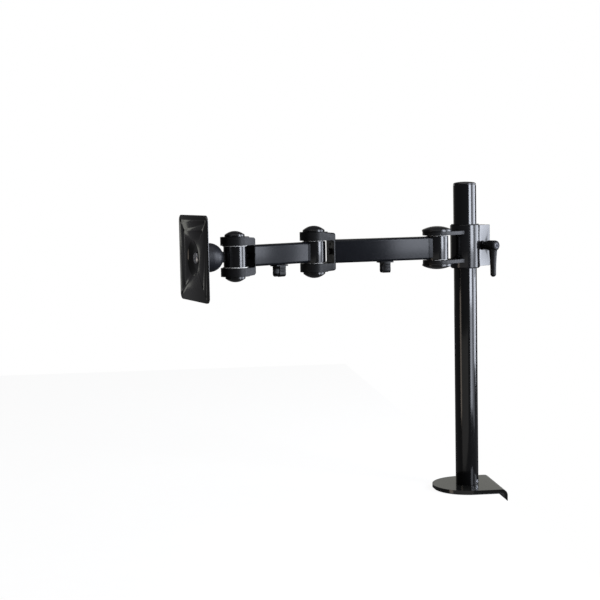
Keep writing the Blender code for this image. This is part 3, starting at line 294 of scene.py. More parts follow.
class Finish:
    """A surface finish: a Principled shader and the nodes that feed it."""

    def __init__(self, name, metallic=0.0, ior=1.5, shine=0.5):
        self.material = bpy.data.materials.new(name)
        self.material.use_nodes = True
        self.tree = self.material.node_tree
        self.shader = self.tree.nodes["Principled BSDF"]
        self.shader.inputs["Metallic"].default_value = metallic
        self.shader.inputs["IOR"].default_value = ior
        self.shader.inputs["Specular IOR Level"].default_value = shine
        self.place = self.node('ShaderNodeTexCoord', {}, output="Object")

    def node(self, kind, settings, *values, output=0, **named):
        """Add a node: its settings first, then its sockets in order or by name."""
        made = self.tree.nodes.new(kind)
        for key, value in settings.items():
            setattr(made, key, value)
        for key, value in list(enumerate(values)) + [(k.replace("_", " "), v) for k, v in named.items()]:
            self.feed(made.inputs[key], value)
        return Wire(self, made.outputs[output])

    def feed(self, socket, value):
        if isinstance(value, Wire):
            self.tree.links.new(value.socket, socket)
        else:
            socket.default_value = value

    def noise(self, size, detail=2.0, stretch=(1, 1, 1), roughness=0.5):
        """Noise whose lumps are about so many millimetres across."""
        where = self.node('ShaderNodeMapping', {}, self.place, Scale=[s / (size * MM) for s in stretch])
        return self.node('ShaderNodeTexNoise', {}, where, Scale=1.0, Detail=detail, Roughness=roughness)

    def blend(self, amount, dark, light):
        made = self.tree.nodes.new('ShaderNodeMix')
        made.data_type = 'RGBA'
        self.feed(made.inputs[0], amount)
        self.feed(made.inputs[6], (*dark, 1))
        self.feed(made.inputs[7], (*light, 1))
        return Wire(self, made.outputs[2])

    def surface(self, color, roughness, bump=None, depth=0.01, strength=0.5):
        self.feed(self.shader.inputs["Base Color"], color)
        self.feed(self.shader.inputs["Roughness"], roughness)
        if bump is not None:
            relief = self.node('ShaderNodeBump', {}, Height=bump, Strength=strength, Distance=depth * MM)
            self.feed(self.shader.inputs["Normal"], relief)
        return self.material


def gloss_enamel():
    """Baked gloss enamel on the post: a little orange peel, faint wipe marks."""
    f = Finish("gloss_black_enamel", ior=1.52)
    peel = f.noise(2.6, 2.0)
    wipe = f.noise(22.0, 3.0, (1, 1, 0.12))
    fine = f.noise(0.4, 1.0)
    return f.surface(f.blend(wipe, (0.0016, 0.0016, 0.0018), (0.0036, 0.0036, 0.0038)),
                     wipe * 0.06 + fine * 0.02 + 0.085, peel, 0.006, 0.25)


def satin_coat(name, dark, light, rough, spread, grain, depth, shine=0.5):
    """Powder coat: a fine pebble, soft clouds of gloss and a few duller specks."""
    f = Finish(name, shine=shine)
    pebble = f.noise(grain, 3.0, roughness=0.6)
    cloud = f.noise(14.0, 3.0)
    speck = f.noise(grain * 2.6, 1.0) ** 6.0
    tone = cloud * 0.6 + pebble * 0.4
    return f.surface(f.blend(tone, dark, light),
                     pebble * spread + cloud * spread + speck * 0.3 + (rough - spread),
                     pebble, depth, 0.4)


def moulded_plastic(name, dark, light, rough, grain, depth, shine=0.5):
    """Injection-moulded plastic with a spark-eroded grain."""
    f = Finish(name, ior=1.49, shine=shine)
    pebble = f.noise(grain, 2.0, roughness=0.7)
    cloud = f.noise(9.0, 3.0)
    return f.surface(f.blend(cloud * 0.6 + pebble * 0.3, dark, light),
                     pebble * 0.14 + cloud * 0.08 + (rough - 0.1),
                     pebble, depth, 0.5)


def zinc_plate(name, dark, light, rough):
    """Bright zinc on turned steel: fine rings of tool marks under a soft sheen."""
    f = Finish(name, metallic=1.0)
    marks = f.noise(0.25, 2.0, (1, 1, 6))
    cloud = f.noise(3.0, 3.0)
    return f.surface(f.blend(cloud, dark, light), marks * 0.12 + cloud * 0.12 + (rough - 0.1), marks, 0.004,
                     0.3)


def natural_nylon():
    """Milky nylon, slightly uneven."""
    f = Finish("natural_nylon", ior=1.53)
    cloud = f.noise(5.0, 3.0)
    fine = f.noise(0.5, 1.0)
    return f.surface(f.blend(cloud, (0.72, 0.71, 0.67), (0.84, 0.83, 0.79)), fine * 0.12 + 0.36, fine,
                     0.006, 0.3)


def foam_rubber():
    """Matt cellular rubber."""
    f = Finish("foam_rubber", ior=1.45)
    cells = f.node('ShaderNodeTexVoronoi', {}, f.node('ShaderNodeMapping', {}, f.place,
                                                      Scale=(1400, 1400, 1400)))
    cloud = f.noise(6.0, 3.0)
    return f.surface(f.blend(cells, (0.020, 0.020, 0.021), (0.045, 0.045, 0.046)), cloud * 0.1 + 0.78,
                     cells, 0.05, 0.7)


enamel = gloss_enamel()
plate_coat = satin_coat("gloss_black_plate", (0.0024, 0.0024, 0.0022), (0.0075, 0.0075, 0.0070), 0.13, 0.03,
                        0.9, 0.006)
cast_coat = satin_coat("gloss_black_casting", (0.0016, 0.0016, 0.0019), (0.0052, 0.0052, 0.0058), 0.17,
                       0.03, 0.9, 0.005)
tube_coat = satin_coat("satin_black_tube", (0.0040, 0.0044, 0.0054), (0.0090, 0.0096, 0.0118), 0.21, 0.03,
                       0.6, 0.004, 0.13)
fork_coat = satin_coat("satin_black_casting", (0.0040, 0.0040, 0.0042), (0.0100, 0.0100, 0.0104), 0.42,
                       0.05, 0.8, 0.010, 0.17)
cap_plastic = moulded_plastic("black_cap_plastic", (0.0022, 0.0022, 0.0024), (0.0060, 0.0060, 0.0064), 0.24,
                              0.5, 0.006)
grip_plastic = moulded_plastic("black_grip_plastic", (0.0034, 0.0034, 0.0036), (0.0090, 0.0090, 0.0094),
                               0.38, 0.4, 0.012, 0.16)
dome_plastic = moulded_plastic("blue_black_dome_plastic", (0.0060, 0.0066, 0.0085),
                               (0.0130, 0.0140, 0.0180), 0.42, 0.4, 0.010, 0.28)
zinc = zinc_plate("bright_zinc", (0.52, 0.53, 0.56), (0.66, 0.67, 0.69), 0.30)
dark_zinc = zinc_plate("black_zinc", (0.030, 0.030, 0.033), (0.075, 0.075, 0.080), 0.34)
nylon = natural_nylon()
foam = foam_rubber()


# ---------------------------------------------------------------- base, post and clamp

def fold(piece, start, middle, end, way):
    """Bend a strip's end face through a right angle, down (-1) or up (1), and draw it out to a flange."""
    pick_faces(piece, lambda centre, normal: normal.x > 0.99 and abs(centre.x - start) < 0.05)
    bpy.ops.mesh.spin(steps=14, angle=math.radians(90), center=(start * MM, 0, middle * MM),
                      axis=(0, way, 0))
    bpy.ops.mesh.extrude_region_move(TRANSFORM_OT_translate={"value": (0, 0, (end - middle) * MM)})
    bpy.ops.mesh.select_all(action='SELECT')
    bpy.ops.mesh.remove_doubles(threshold=1e-6)
    bpy.ops.mesh.normals_make_consistent(inside=False)
    bpy.ops.object.mode_set(mode='OBJECT')
    return piece


def half_round(name, radius, low, high, reach, sides):
    """Flat piece that is round at one end and drawn out straight along +X at the other."""
    piece = rod(name, radius, low, high, sides)
    pick_faces(piece, lambda middle, normal: True)
    bpy.ops.mesh.bisect(plane_co=(0, 0, 0), plane_no=(1, 0, 0), clear_outer=True, use_fill=True)
    pick_faces(piece, lambda middle, normal: normal.x > 0.99 and abs(middle.x) < 0.01)
    bpy.ops.mesh.extrude_region_move(TRANSFORM_OT_translate={"value": (reach * MM, 0, 0)})
    return piece

def make_desk_pad():
    low, high = measure("desk_pad", on_post)
    pad = half_round("foam_desk_pad", high.y, low.z, high.z, high.x, 128)
    softened(pad, 0.4, 2)
    set_down(pad, on_post, "stand", "black_rubber", foam, "desk_pad")

def make_base_plate():
    low, high = measure("base_plate", on_post)
    top, under, reach = high.z, high.z - STEEL, high.x - BEND
    plate = half_round("bent_base_plate", high.y, under, top, reach, 160)
    fold(plate, reach, top - BEND, low.z, -1)
    round_edges(plate, 12, lambda a, b: along(0)(a, b) and abs(a.z - low.z) < 0.1, 8)
    carved(plate, turned("sink", [(5.1, top + 1), (5.1, top - 1.0), (10.4, under), (10.4, under - 1)], 48))
    for node in ("jaw_bolt_near", "jaw_bolt_far"):
        a, b = measure(node, on_post)
        middle = (a + b) / 2
        hole = laid(rod("hole", STUD_BORE, high.x - STEEL - 1, high.x + 1), lay_x)
        carved(plate, moved(hole, 0, middle.y, middle.z))
    softened(plate, 0.9, 3)
    set_down(plate, on_post, "stand", "black_steel", plate_coat, "base_plate")

def make_post():
    low, high = measure("post", on_post)
    post = turned("post_tube", [(high.x, low.z), (high.x, high.z), (high.x - 2, high.z),
                                (high.x - 2, low.z)], 128, ring=True)
    screw_low, screw_high = measure("post_set_screw", on_post)
    middle = (screw_low + screw_high) / 2
    heading = Vector((middle.x, middle.y, 0)).normalized()
    radial = upright((0, 0, middle.z * MM), heading)
    hole = apply_place(laid(rod("hole", 2.9, 9, 20, 32), lay_x), radial)
    carved(post, hole)
    softened(post, 0.3, 2, 50)
    set_down(post, on_post, "stand", "black_steel", enamel, "post")
    outer = high.x - 0.2
    screw = turned("set_screw", [(1.4, outer - 2.2), (1.4, outer), (2.3, outer), (2.5, outer - 0.4),
                                 (2.5, outer - 8), (0.5, outer - 8)], 24)
    set_down(laid(screw, lay_x), radial, "stand", "zinc_steel", zinc, "post_set_screw")

    low, high = measure("post_cap", on_post)
    radius, rim = high.x, measure("post", on_post)[1].z + 0.3
    crown = high.z - rim - 2.0
    profile = [(12.8, rim), (12.8, low.z), (15.0, low.z), (15.2, low.z + 0.4), (15.2, rim - 0.02),
               (radius - 0.3, rim), (radius, rim + 0.3),
               (radius, rim + 1.6), (radius - 0.5, rim + 2.0)]
    profile += rounding(radius - 0.5, rim + 2.0, crown, range(9, 90, 9))
    cap = turned("post_end_cap", profile + [(0, high.z)], 96)
    set_down(cap, on_post, "stand", "black_plastic", cap_plastic, "post_cap")


def hex_socket(radius, low, high):
    """Cutter for a hexagon socket about Z."""
    return rod("socket", radius, low, high, 6)


def make_clamp():
    low, high = measure("clamp_jaw", on_post)
    width = high.y
    inside = high.x - BEND
    jaw = block("lower_jaw", (low.x, -width, low.z), (inside, width, low.z + STEEL))
    fold(jaw, inside, low.z + BEND, high.z, 1)
    round_edges(jaw, 10, lambda a, b: abs(a.y - b.y) < 0.1 and (
        along(2)(a, b) and abs(a.x - low.x) < 0.1 or along(0)(a, b) and abs(a.z - high.z) < 0.1), 8)
    carved(jaw, rod("hole", SCREW_BORE, low.z - 1, low.z + STEEL + 1))
    for node, name in (("jaw_bolt_near", "jaw_bolt_left"), ("jaw_bolt_far", "jaw_bolt_right")):
        a, b = measure(node, on_post)
        y, z = (a.y + b.y) / 2, (a.z + b.z) / 2
        carved(jaw, moved(laid(rod("hole", STUD_BORE, high.x - STEEL - 1, high.x + 1), lay_x), 0, y, z))
        face = high.x + 0.3
        bolt = turned(name, [(4, a.x), (4, face), (7, face), (7, face + 0.6)]
                      + rounding(7, face + 0.6, 3.9, range(15, 75, 15)), 48)
        carved(bolt, hex_socket(2.6, face + 1.4, face + 6))
        softened(bolt, 0.2, 2)
        set_down(moved(laid(bolt, lay_x), 0, y, z), on_post, "stand", "zinc_steel", zinc, node)
    softened(jaw, 0.9, 3)
    set_down(jaw, on_post, "stand", "black_steel", plate_coat, "clamp_jaw")

    low, high = measure("pressure_pad", on_post)
    pad = turned("pressure_foot_pad", [(high.x - 0.5, low.z), (high.x, low.z + 0.4), (high.x, high.z - 0.5),
                                       (high.x - 0.6, high.z)], 72)
    set_down(pad, on_post, "pressure_foot", "black_rubber", foam, "pressure_pad")
    low, high = measure("pressure_plate", on_post)
    floor = high.z - 3.5
    ball = floor - 4.7
    foot = turned("pressure_foot_plate", [(1.86, high.z), (high.x - 0.6, high.z), (high.x, high.z - 0.6),
                                          (high.x, floor + 0.6),
                  (high.x - 0.8, floor), (12.5, floor - 0.6), (9.8, floor - 2.2), (9.5, floor - 3.2),
                  (9.5, low.z + 0.4), (9.1, low.z), (5.3, low.z),
                  (5.3, ball - 3.6), (6.5, ball), (5.3, ball + 3.7), (2.0, ball + 6.2)], 72)
    set_down(foot, on_post, "pressure_foot", "black_steel", plate_coat, "pressure_plate")

    low, high = measure("clamp_screw", on_post)
    profile = rounding(6.2, ball, 6.2, range(85, -60, -15))
    profile = [(r, z) for r, z in profile if r > 3.6 or z > ball]
    neck_low = measure("pressure_plate", on_post)[0].z - 1.5
    profile += [(3.6, ball - 5.0), (3.6, neck_low), (4.1, neck_low - 1)]
    z = neck_low - 1.4
    while z > low.z + 8:
        profile += [(4.8, z), (4.8, z - 0.35), (4.05, z - 0.75)]
        z -= 1.5
    profile += [(4.6, z), (4.6, low.z)]
    screw = turned("clamp_screw_thread", profile, 32)
    set_down(screw, on_post, "clamp_spindle", "zinc_steel", zinc, "clamp_screw", smooth=50)
    low, high = measure("clamp_knob", on_post)
    knob = rod("star_knob", 23.0, low.z, high.z, 96)
    for i in range(6):
        angle = math.radians(60 * i + 30)
        carved(knob, moved(rod("scallop", 9.5, low.z - 1, high.z + 1, 48), 27.2 * math.cos(angle),
                           27.2 * math.sin(angle)))
    carved(knob, rod("bore", SCREW_BORE, low.z + 6, high.z + 1, 32))
    joined(knob, turned("boss", [(8.5, high.z - 1), (8.5, high.z - 0.2), (5.2, high.z - 0.2),
                                 (5.2, high.z - 1)], 48, ring=True))
    carved(knob, turned("hollow", [(14, low.z - 1), (14, low.z + 1.2), (9, low.z + 1.2), (9, low.z - 1)],
                        64, ring=True))
    softened(knob, 1.4, 4, 40)
    set_down(knob, on_post, "clamp_spindle", "black_plastic", grip_plastic, "clamp_knob")


# ---------------------------------------------------------------- collar and lever

def make_sleeve():
    low, high = measure("collar_sleeve", on_collar)
    bore, wall, lip = 17.8, 19.0, 21.0
    sleeve = turned("split_sleeve", [(bore, low.z), (lip, low.z), (lip, low.z + 1), (wall, low.z + 1),
                                     (wall, high.z - 1),
                                     (lip, high.z - 1), (lip, high.z), (bore, high.z)], 96, ring=True)
    carved(sleeve, block("slit", (-lip - 1, -1, low.z - 1), (0, 1, high.z + 1)))
    softened(sleeve, 0.2, 2)
    set_down(sleeve, on_collar, "sleeve", "black_plastic", grip_plastic, "collar_sleeve")


def make_collar():
    low, high = measure("collar", on_collar)
    reach = (shoulder.xy.length) / MM
    tip = high.x - reach
    upper_low = measure("inner_arm_hub", on_shoulder)[1].z + GAP + 0.8 + GAP     # a washer lies on the hub
    collar = turned("split_collar", [(22.5, low.z), (22.5, high.z)], 128)
    ear = 9.5
    ears = block("ears", (low.x, -ear, low.z + 0.8), (-4, ear, high.z - 0.8))
    round_edges(ears, 2.0, lambda a, b: along(2)(a, b) and a.x < low.x + 0.1, 4)
    joined(collar, ears)
    plates = []
    for side in (1, -1):
        a, b = sorted((side * upper_low, side * (upper_low + 5.2)))
        plate = moved(rod("plate", tip, a, b, 96), reach)
        web = block("web", (8, -14, a), (reach, 14, b))
        mesh = open_mesh(web, 'VERT')
        for vertex in mesh.verts:
            if vertex.co.x > 20 * MM:
                vertex.co.y *= 21.2 / 14
                vertex.co.x = (reach - 3.7) * MM
        bmesh.update_edit_mesh(web.data)
        bpy.ops.object.mode_set(mode='OBJECT')
        joined(plate, web)
        plates.append(plate)
    carved(collar, rod("bore", 19.3, low.z - 1, high.z + 1, 128))
    carved(collar, block("slit", (low.x - 1, -1.5, low.z - 1), (-4, 1.5, high.z + 1)))
    carved(collar, moved(laid(rod("stud", STUD_BORE, -12, 12, 40), lay_y), -31))
    softened(collar, 0.7, 3, 40)
    set_down(collar, on_collar, "collar_unit", "black_casting", cast_coat, "collar")
    for plate in plates:
        carved(plate, rod("barrel", 22.2, low.z - 1, high.z + 1, 128))
        carved(plate, moved(rod("pivot", PIVOT_BORE, low.z - 1, high.z + 1, 40), reach))
        softened(plate, 1.4, 4, 40)
        set_down(plate, on_collar, "collar_unit", "black_casting", fork_coat, "collar")

    low, high = measure("lever_nut", on_stud)
    nut = rod("stud_nut", 7.5, low.y, high.y, 6)
    joined(nut, turned("crown", [(6.9, low.y), (7.6, low.y + 0.5), (7.6, high.y)], 48), how='INTERSECT')
    carved(nut, rod("bore", STUD_BORE, low.y - 1, high.y + 1, 32))
    softened(nut, 0.2, 2)
    set_down(laid(nut, lay_y), on_stud, "collar_unit", "zinc_steel", zinc, "lever_nut")


def make_lever():
    low, high = measure("lever_stud", on_stud)
    seat = 9.8
    step = seat + 9.2
    profile = [(2.8, step - 2), (2.8, high.y), (4.6, high.y), (5.0, high.y - 0.4), (5.0, step), (6.2, step),
               (6.5, step - 0.3), (6.5, seat + 3.2),
               (5.9, seat + 2.8), (5.9, seat + 2.2), (6.9, seat + 1.9), (6.9, seat + 0.3), (6.6, seat),
               (4.0, seat), (4.0, low.y + 0.6), (3.5, low.y)]
    stud = turned("clamp_stud", profile, 48)
    set_down(laid(stud, lay_y), on_stud, "lever_spindle", "black_steel", cast_coat, "lever_stud")

    low, high = measure("lever_handle", on_stud)
    base, top = low.y, high.y
    handle = turned("lever_grip", [(7.0, base), (7.8, base + 0.9), (7.8, top - 3.2), (7.3, top - 1.4),
                                   (6.3, top - 0.4), (5.4, top)], 64)
    laid(handle, lay_y)
    length = -low.z
    middle = base + 17.7 * 0.55
    arm = turned("arm", [(6.4, 3.5), (6.1, 9), (5.2, 20), (4.6, 30), (4.4, 40), (4.4, length - 4.2)]
                 + rounding(4.4, length - 4.2, 4.2, range(15, 90, 15)) + [(0, length)], 48)
    apply_place(arm, Matrix.Translation((0, middle * MM, 0)) @ Matrix.Rotation(math.radians(180), 4, 'X'))
    joined(handle, arm)
    carved(handle, laid(rod("socket", 5.3, base - 1, base + 7.1, 40), lay_y))
    carved(handle, laid(rod("eye", 2.8, base, top + 1, 32), lay_y))
    carved(handle, laid(turned("well", [(4.5, base + 9.1), (4.5, top - 0.3), (4.9, top + 1)], 40), lay_y))
    softened(handle, 0.45, 3, 40)
    set_down(handle, on_stud, "lever_grip", "black_plastic", grip_plastic, "lever_handle")

    low, high = measure("lever_screw", on_stud)
    screw = turned("lever_retaining_screw", [(2.5, low.y), (2.5, high.y - 2.8), (4.1, high.y - 2.8),
                                             (4.2, high.y - 2.5), (4.2, high.y - 0.5), (3.8, high.y)], 48)
    carved(screw, hex_socket(2.1, high.y - 1.9, high.y + 1))
    softened(screw, 0.15, 2, 45)
    set_down(laid(screw, lay_y), on_stud, "lever_spindle", "zinc_steel", dark_zinc, "lever_screw")


# ---------------------------------------------------------------- joints and arms

def make_cap(node, name, place, body):
    """Domed cap with a banded rim, hollow over the bolt that it hides."""
    low, high = measure(node, place)
    radius = (high.x - low.x) / 2
    side = 1 if low.z > 0 else -1
    face = low.z if side > 0 else high.z
    height = high.z - low.z
    rim = 3.2
    crown = height - rim
    wall = radius - 2
    profile = [(4, 5.7), (8.8, 5.7), (wall, 2.2), (wall, 0), (radius - 0.3, 0), (radius, 0.3),
               (radius, rim - 0.7), (radius - 0.3, rim - 0.35),
               (radius - 0.9, rim - 0.3), (radius - 0.9, rim + 0.05)]
    shoulder_radius = radius - 0.9
    for i in range(1, 13):
        out = shoulder_radius * (1 - i / 13)
        profile.append((out, rim + 0.05 + (crown - 0.05) * (1 - (out / shoulder_radius) ** 2.1)))
    cap = turned(name, [(r, face + side * z) for r, z in profile] + [(0, face + side * height)], 72)
    centre = (low + high) / 2
    set_down(moved(cap, centre.x, centre.y), place, body, "black_plastic", cap_plastic, node)


def make_washer(node, name, place, body):
    low, high = measure(node, place)
    ring = washer(name, PIVOT_BORE, (high.x - low.x) / 2, low.z, high.z, 72)
    softened(ring, 0.15, 2)
    set_down(ring, place, body, "white_nylon", nylon, node)


def make_joint(name, place, body):
    make_cap(name + "_cap_upper", name + "_upper_cap", place, body)
    make_cap(name + "_cap_lower", name + "_lower_cap", place, body)
    make_washer(name + "_washer_upper", name + "_upper_friction_washer", place, body)
    make_washer(name + "_washer_lower", name + "_lower_friction_washer", place, body)


def make_hub(node, tube_node, place, body):
    """Round hub whose neck steps down into the tube."""
    low, high = measure(node, place)
    tube_low, tube_high = measure(tube_node, place)
    width, height, neck = tube_high.y, tube_high.z, tube_low.x - 0.3
    hub = rod(node + "_casting", 17.0, low.z, high.z, 96)
    body_neck = block("neck", (2, 0.5 - width, 0.5 - height), (neck, width - 0.5, height - 0.5))
    round_edges(body_neck, TUBE_CORNER, along(0), 6)
    tongue = block("tongue", (neck - 1, -width + 2.3, -height + 2.3), (high.x, width - 2.3, height - 2.3))
    round_edges(tongue, 2.0, along(0), 3)
    joined(hub, body_neck, tongue)
    carved(hub, rod("bore", PIVOT_BORE, low.z - 1, high.z + 1, 40))
    softened(hub, 0.5, 3, 40)
    set_down(hub, place, body, "black_casting", cast_coat, node)
    sleeve = block(node + "_neck_cover", (2, -width, -height), (neck, width, height))
    round_edges(sleeve, TUBE_CORNER, along(0), 6)
    carved(sleeve, rod("seat", 16.9, -height - 1, height + 1, 96))
    carved(sleeve, block("hollow", (0, 0.4 - width, 0.4 - height), (neck + 1, width - 0.4, height - 0.4)))
    softened(sleeve, 0.1, 1, 50)
    set_down(sleeve, place, body, "black_casting", tube_coat, node)


def make_tube(node, place, body):
    """Rectangular tube with round corners."""
    low, high = measure(node, place)
    tube = block(node + "_section", low, high)
    round_edges(tube, TUBE_CORNER, along(0), 6)
    hollow = block("hollow", (low.x - 1, low.y + 2, low.z + 2), (high.x + 1, high.y - 2, high.z - 2))
    round_edges(hollow, 2.0, along(0), 4)
    carved(tube, hollow)
    softened(tube, 0.5, 3, 50)
    set_down(tube, place, body, "black_steel", tube_coat, node)


def make_clip(node, place, body):
    """Moulded cable clip: a foot on the tube and a loop that is open below."""
    low, high = measure(node, place)
    middle = (low.x + high.x) / 2
    foot = block(node + "_moulding", (low.x, -7.5, high.z - 2), (high.x, 7.5, high.z))
    round_edges(foot, 1.2, along(2), 3)
    half = 5.5
    loop = block("loop", (middle - half, low.y, low.z), (middle + half, high.y, high.z - 1))
    round_edges(loop, 4.0, lambda a, b: along(0)(a, b) and a.z < low.z + 1, 6)
    joined(foot, loop)
    hollow = block("hollow", (middle - 12, low.y + 2.4, low.z + 2.4),
                   (middle + 12, high.y - 2.4, high.z - 4.4))
    round_edges(hollow, 3.0, along(0), 5)
    carved(foot, hollow)
    carved(foot, block("mouth", (middle - 12, -2.5, low.z - 2), (middle + 12, 2.5, low.z + 3)))
    for i in range(3):
        z = high.z - 5.4 - 2.3 * i
        for side in (-1, 1):
            y = high.y * side
            carved(foot, block("rib_gap", (middle - 9, y - 0.5, z - 0.5), (middle + 9, y + 0.5, z + 0.5)))
    softened(foot, 0.35, 2, 40)
    set_down(foot, place, body, "black_plastic", grip_plastic, node)


def make_fork(name, arm_name, place, body, gap_half):
    """C-shaped casting: a round eye above and below, a back wall between, screwed to the tube's end."""
    low, high = measure(name + "_fork", place)
    ring, back, outer = high.x, -low.x, high.z
    eye = rod(name + "_fork_casting", ring, low.z, high.z, 112)
    wall = block("back", (-back, -ring, low.z), (0, ring, high.z))
    mesh = open_mesh(wall, 'VERT')
    for vertex in mesh.verts:
        if vertex.co.x < -1 * MM:
            vertex.co.y *= (ring - 3.5) / ring
            vertex.co.z *= (outer - 1.8) / outer
    bmesh.update_edit_mesh(wall.data)
    bpy.ops.object.mode_set(mode='OBJECT')
    round_edges(wall, 6.0, lambda a, b: a.x < -1 and b.x < -1 and abs(a.z - b.z) > 10, 8)
    round_edges(wall, 3.0, lambda a, b: a.x < -1 - ring and b.x < -1 - ring and a.z * b.z > 0, 6)
    joined(eye, wall)
    hollow = block("gap", (-back + 4, -ring - 1, -gap_half), (ring + 1, ring + 1, gap_half))
    round_edges(hollow, 2.5, lambda a, b: along(1)(a, b) and a.x < 0, 4)
    carved(eye, hollow)
    carved(eye, rod("bore", PIVOT_BORE, low.z - 1, high.z + 1, 40))
    screw_low, screw_high = measure(name + "_fork_screw", place)
    pin_low, pin_high = measure(name + "_fork_pin", place)
    carved(eye, laid(rod("hole", PIN_BORE, -back - 1, -back + 5, 32), lay_x))
    carved(eye, moved(laid(rod("hole", 2.3, -back - 1, -back + 5, 24), lay_x), 0, 0,
                      (pin_low.z + pin_high.z) / 2))
    softened(eye, 0.8, 3, 40)
    set_down(eye, place, body, "black_casting", fork_coat, name + "_fork")
    seat = screw_high.x - 3.0
    screw = turned(name + "_tube_screw", [(3.0, screw_low.x), (3.0, seat), (4.6, seat), (4.8, seat + 0.2),
                                          (4.8, seat + 2.5), (4.3, seat + 3.0)], 40)
    carved(screw, hex_socket(2.3, seat + 1.2, seat + 4))
    softened(screw, 0.15, 2, 45)
    set_down(laid(screw, lay_x), place, body, "zinc_steel", dark_zinc, name + "_fork_screw")


# ---------------------------------------------------------------- head and screen plate

def make_head():
    low, high = measure("head_hub", on_head)
    reach = (tilt - wrist).length / MM
    hub = rod("swivel_hub", 16.0, low.z, high.z, 96)
    lug = block("lug", (0, -LUG_HALF, -LUG_RADIUS), (reach, LUG_HALF, LUG_RADIUS))
    eye = moved(laid(rod("eye", LUG_RADIUS, -LUG_HALF, LUG_HALF, 64), lay_y), reach)
    joined(hub, lug, eye)
    carved(hub, rod("bore", PIVOT_BORE, low.z - 1, high.z + 1, 40))
    carved(hub, moved(laid(rod("pin", PIN_BORE, -8, 8, 32), lay_y), reach))
    softened(hub, 0.5, 3, 40)
    set_down(hub, on_head, "swivel_head", "black_casting", cast_coat, "head_hub")

    base, back, cheek_face = 8.5, 13.5, LUG_HALF + GAP
    yoke = laid(turned("tilt_yoke_casting", [(16.6, base), (17.2, base + 0.6), (17.2, back - 0.6),
                                             (16.6, back)], 72), lay_x)
    for side in (1, -1):
        a, b = sorted((side * cheek_face, side * (cheek_face + 4)))
        cheek = laid(rod("cheek", LUG_RADIUS, a, b, 64), lay_y)
        joined(cheek, block("web", (0, a, -LUG_RADIUS), (base + 1, b, LUG_RADIUS)))
        joined(yoke, cheek)
    carved(yoke, laid(rod("pin", PIN_BORE, -10, 10, 32), lay_y),
           laid(rod("thread", STUD_BORE, base - 1, back + 1, 32), lay_x))
    softened(yoke, 0.4, 2, 40)
    set_down(yoke, on_tilt, "tilt_head", "black_casting", cast_coat, "tilt_yoke")

    dome_low, dome_high = measure("tilt_dome", on_tilt)
    radius, wall, skirt = -dome_low.x, 2.0, dome_high.x
    within = radius - wall
    rim = [(radius, skirt - 0.4), (radius - 0.4, skirt), (within, skirt)]
    shell = (rounding(radius, 0, -radius, range(84, -6, -6)) + rim
             + rounding(within, 0, -within, range(0, 90, 6)))
    dome = turned("tilt_dome_shell", shell, 96)
    half = within * math.sin(math.asin(LUG_RADIUS / within) + math.radians(TILT_SWING))
    laid(dome, lay_x)
    slot = block("slot", (-radius - 1, -LUG_HALF - GAP, -half), (-radius * 0.4, LUG_HALF + GAP, half))
    round_edges(slot, 0.6, along(0), 3)
    carved(dome, slot)
    softened(dome, 0.3, 2, 45)
    set_down(dome, on_tilt, "tilt_head", "black_plastic", dome_plastic, "tilt_dome")

    low, high = measure("screen_washer", on_tilt)
    ring = washer("screen_friction_washer", STUD_BORE, 14, low.x, high.x, 64)
    softened(ring, 0.15, 2)
    set_down(laid(ring, lay_x), on_tilt, "tilt_head", "white_nylon", nylon, "screen_washer")
    low, high = measure("screen_bolt", on_tilt)
    seat = high.x - 3.4
    bolt = turned("screen_pivot_bolt", [(4, low.x), (4, seat), (8, seat), (8, seat + 1.0)]
                  + rounding(8, seat + 1.0, 2.9, range(12, 60, 12)), 48)
    carved(bolt, hex_socket(2.9, seat + 1.0, seat + 5))
    softened(bolt, 0.2, 2, 45)
    set_down(laid(bolt, lay_x), on_tilt, "tilt_head", "zinc_steel", zinc, "screen_bolt")

    low, high = measure("screen_plate", on_tilt)
    front, half = high.x, high.y
    dish_back = low.x
    plate = block("screen_plate_pressing", (front - 2.5, -half, -half), (front, half, half))
    round_edges(plate, 9.0, along(0), 8)
    dish = turned("dish", [(17, dish_back), (19.5, dish_back + 1.0), (24, front - 3.0), (25.5, front - 2.2),
                           (25.5, front - 1)], 96)
    joined(plate, laid(dish, lay_x))
    hollow = turned("hollow", [(15.5, dish_back + 2.5), (17.6, dish_back + 3.2), (22.2, front - 1.2),
                               (23.8, front - 0.2), (24.6, front + 1)], 96)
    carved(plate, laid(hollow, lay_x))
    carved(plate, laid(rod("bore", STUD_BORE, dish_back - 1, dish_back + 4, 40), lay_x))
    for spacing in (37.5, 50.0):
        for y in (-spacing, spacing):
            for z in (-spacing, spacing):
                carved(plate, moved(laid(rod("hole", 2.3, front - 4, front + 1, 24), lay_x), 0, y, z))
    softened(plate, 0.4, 2, 40)
    set_down(plate, on_tilt, "screen_mount", "black_steel", plate_coat, "screen_plate")


# ---------------------------------------------------------------- the whole arm

make_desk_pad()
make_base_plate()
make_post()
make_clamp()
make_sleeve()
make_collar()
make_lever()
make_joint("shoulder", on_shoulder, "collar_unit")
make_hub("inner_arm_hub", "inner_arm_tube", on_inner_arm, "inner_arm")
make_tube("inner_arm_tube", on_inner_arm, "inner_arm")
make_clip("inner_arm_cable_clip", on_inner_arm, "inner_arm")
make_fork("elbow", "inner_arm", on_elbow, "inner_arm", measure("outer_arm_hub", on_outer_arm)[1].z + 1.4)
make_joint("elbow", on_elbow, "inner_arm")
make_hub("outer_arm_hub", "outer_arm_tube", on_outer_arm, "outer_arm")
make_tube("outer_arm_tube", on_outer_arm, "outer_arm")
make_clip("outer_arm_cable_clip", on_outer_arm, "outer_arm")
make_fork("wrist", "outer_arm", on_wrist, "outer_arm", measure("head_hub", on_head)[1].z + 1.4)
make_joint("wrist", on_wrist, "outer_arm")
make_head()

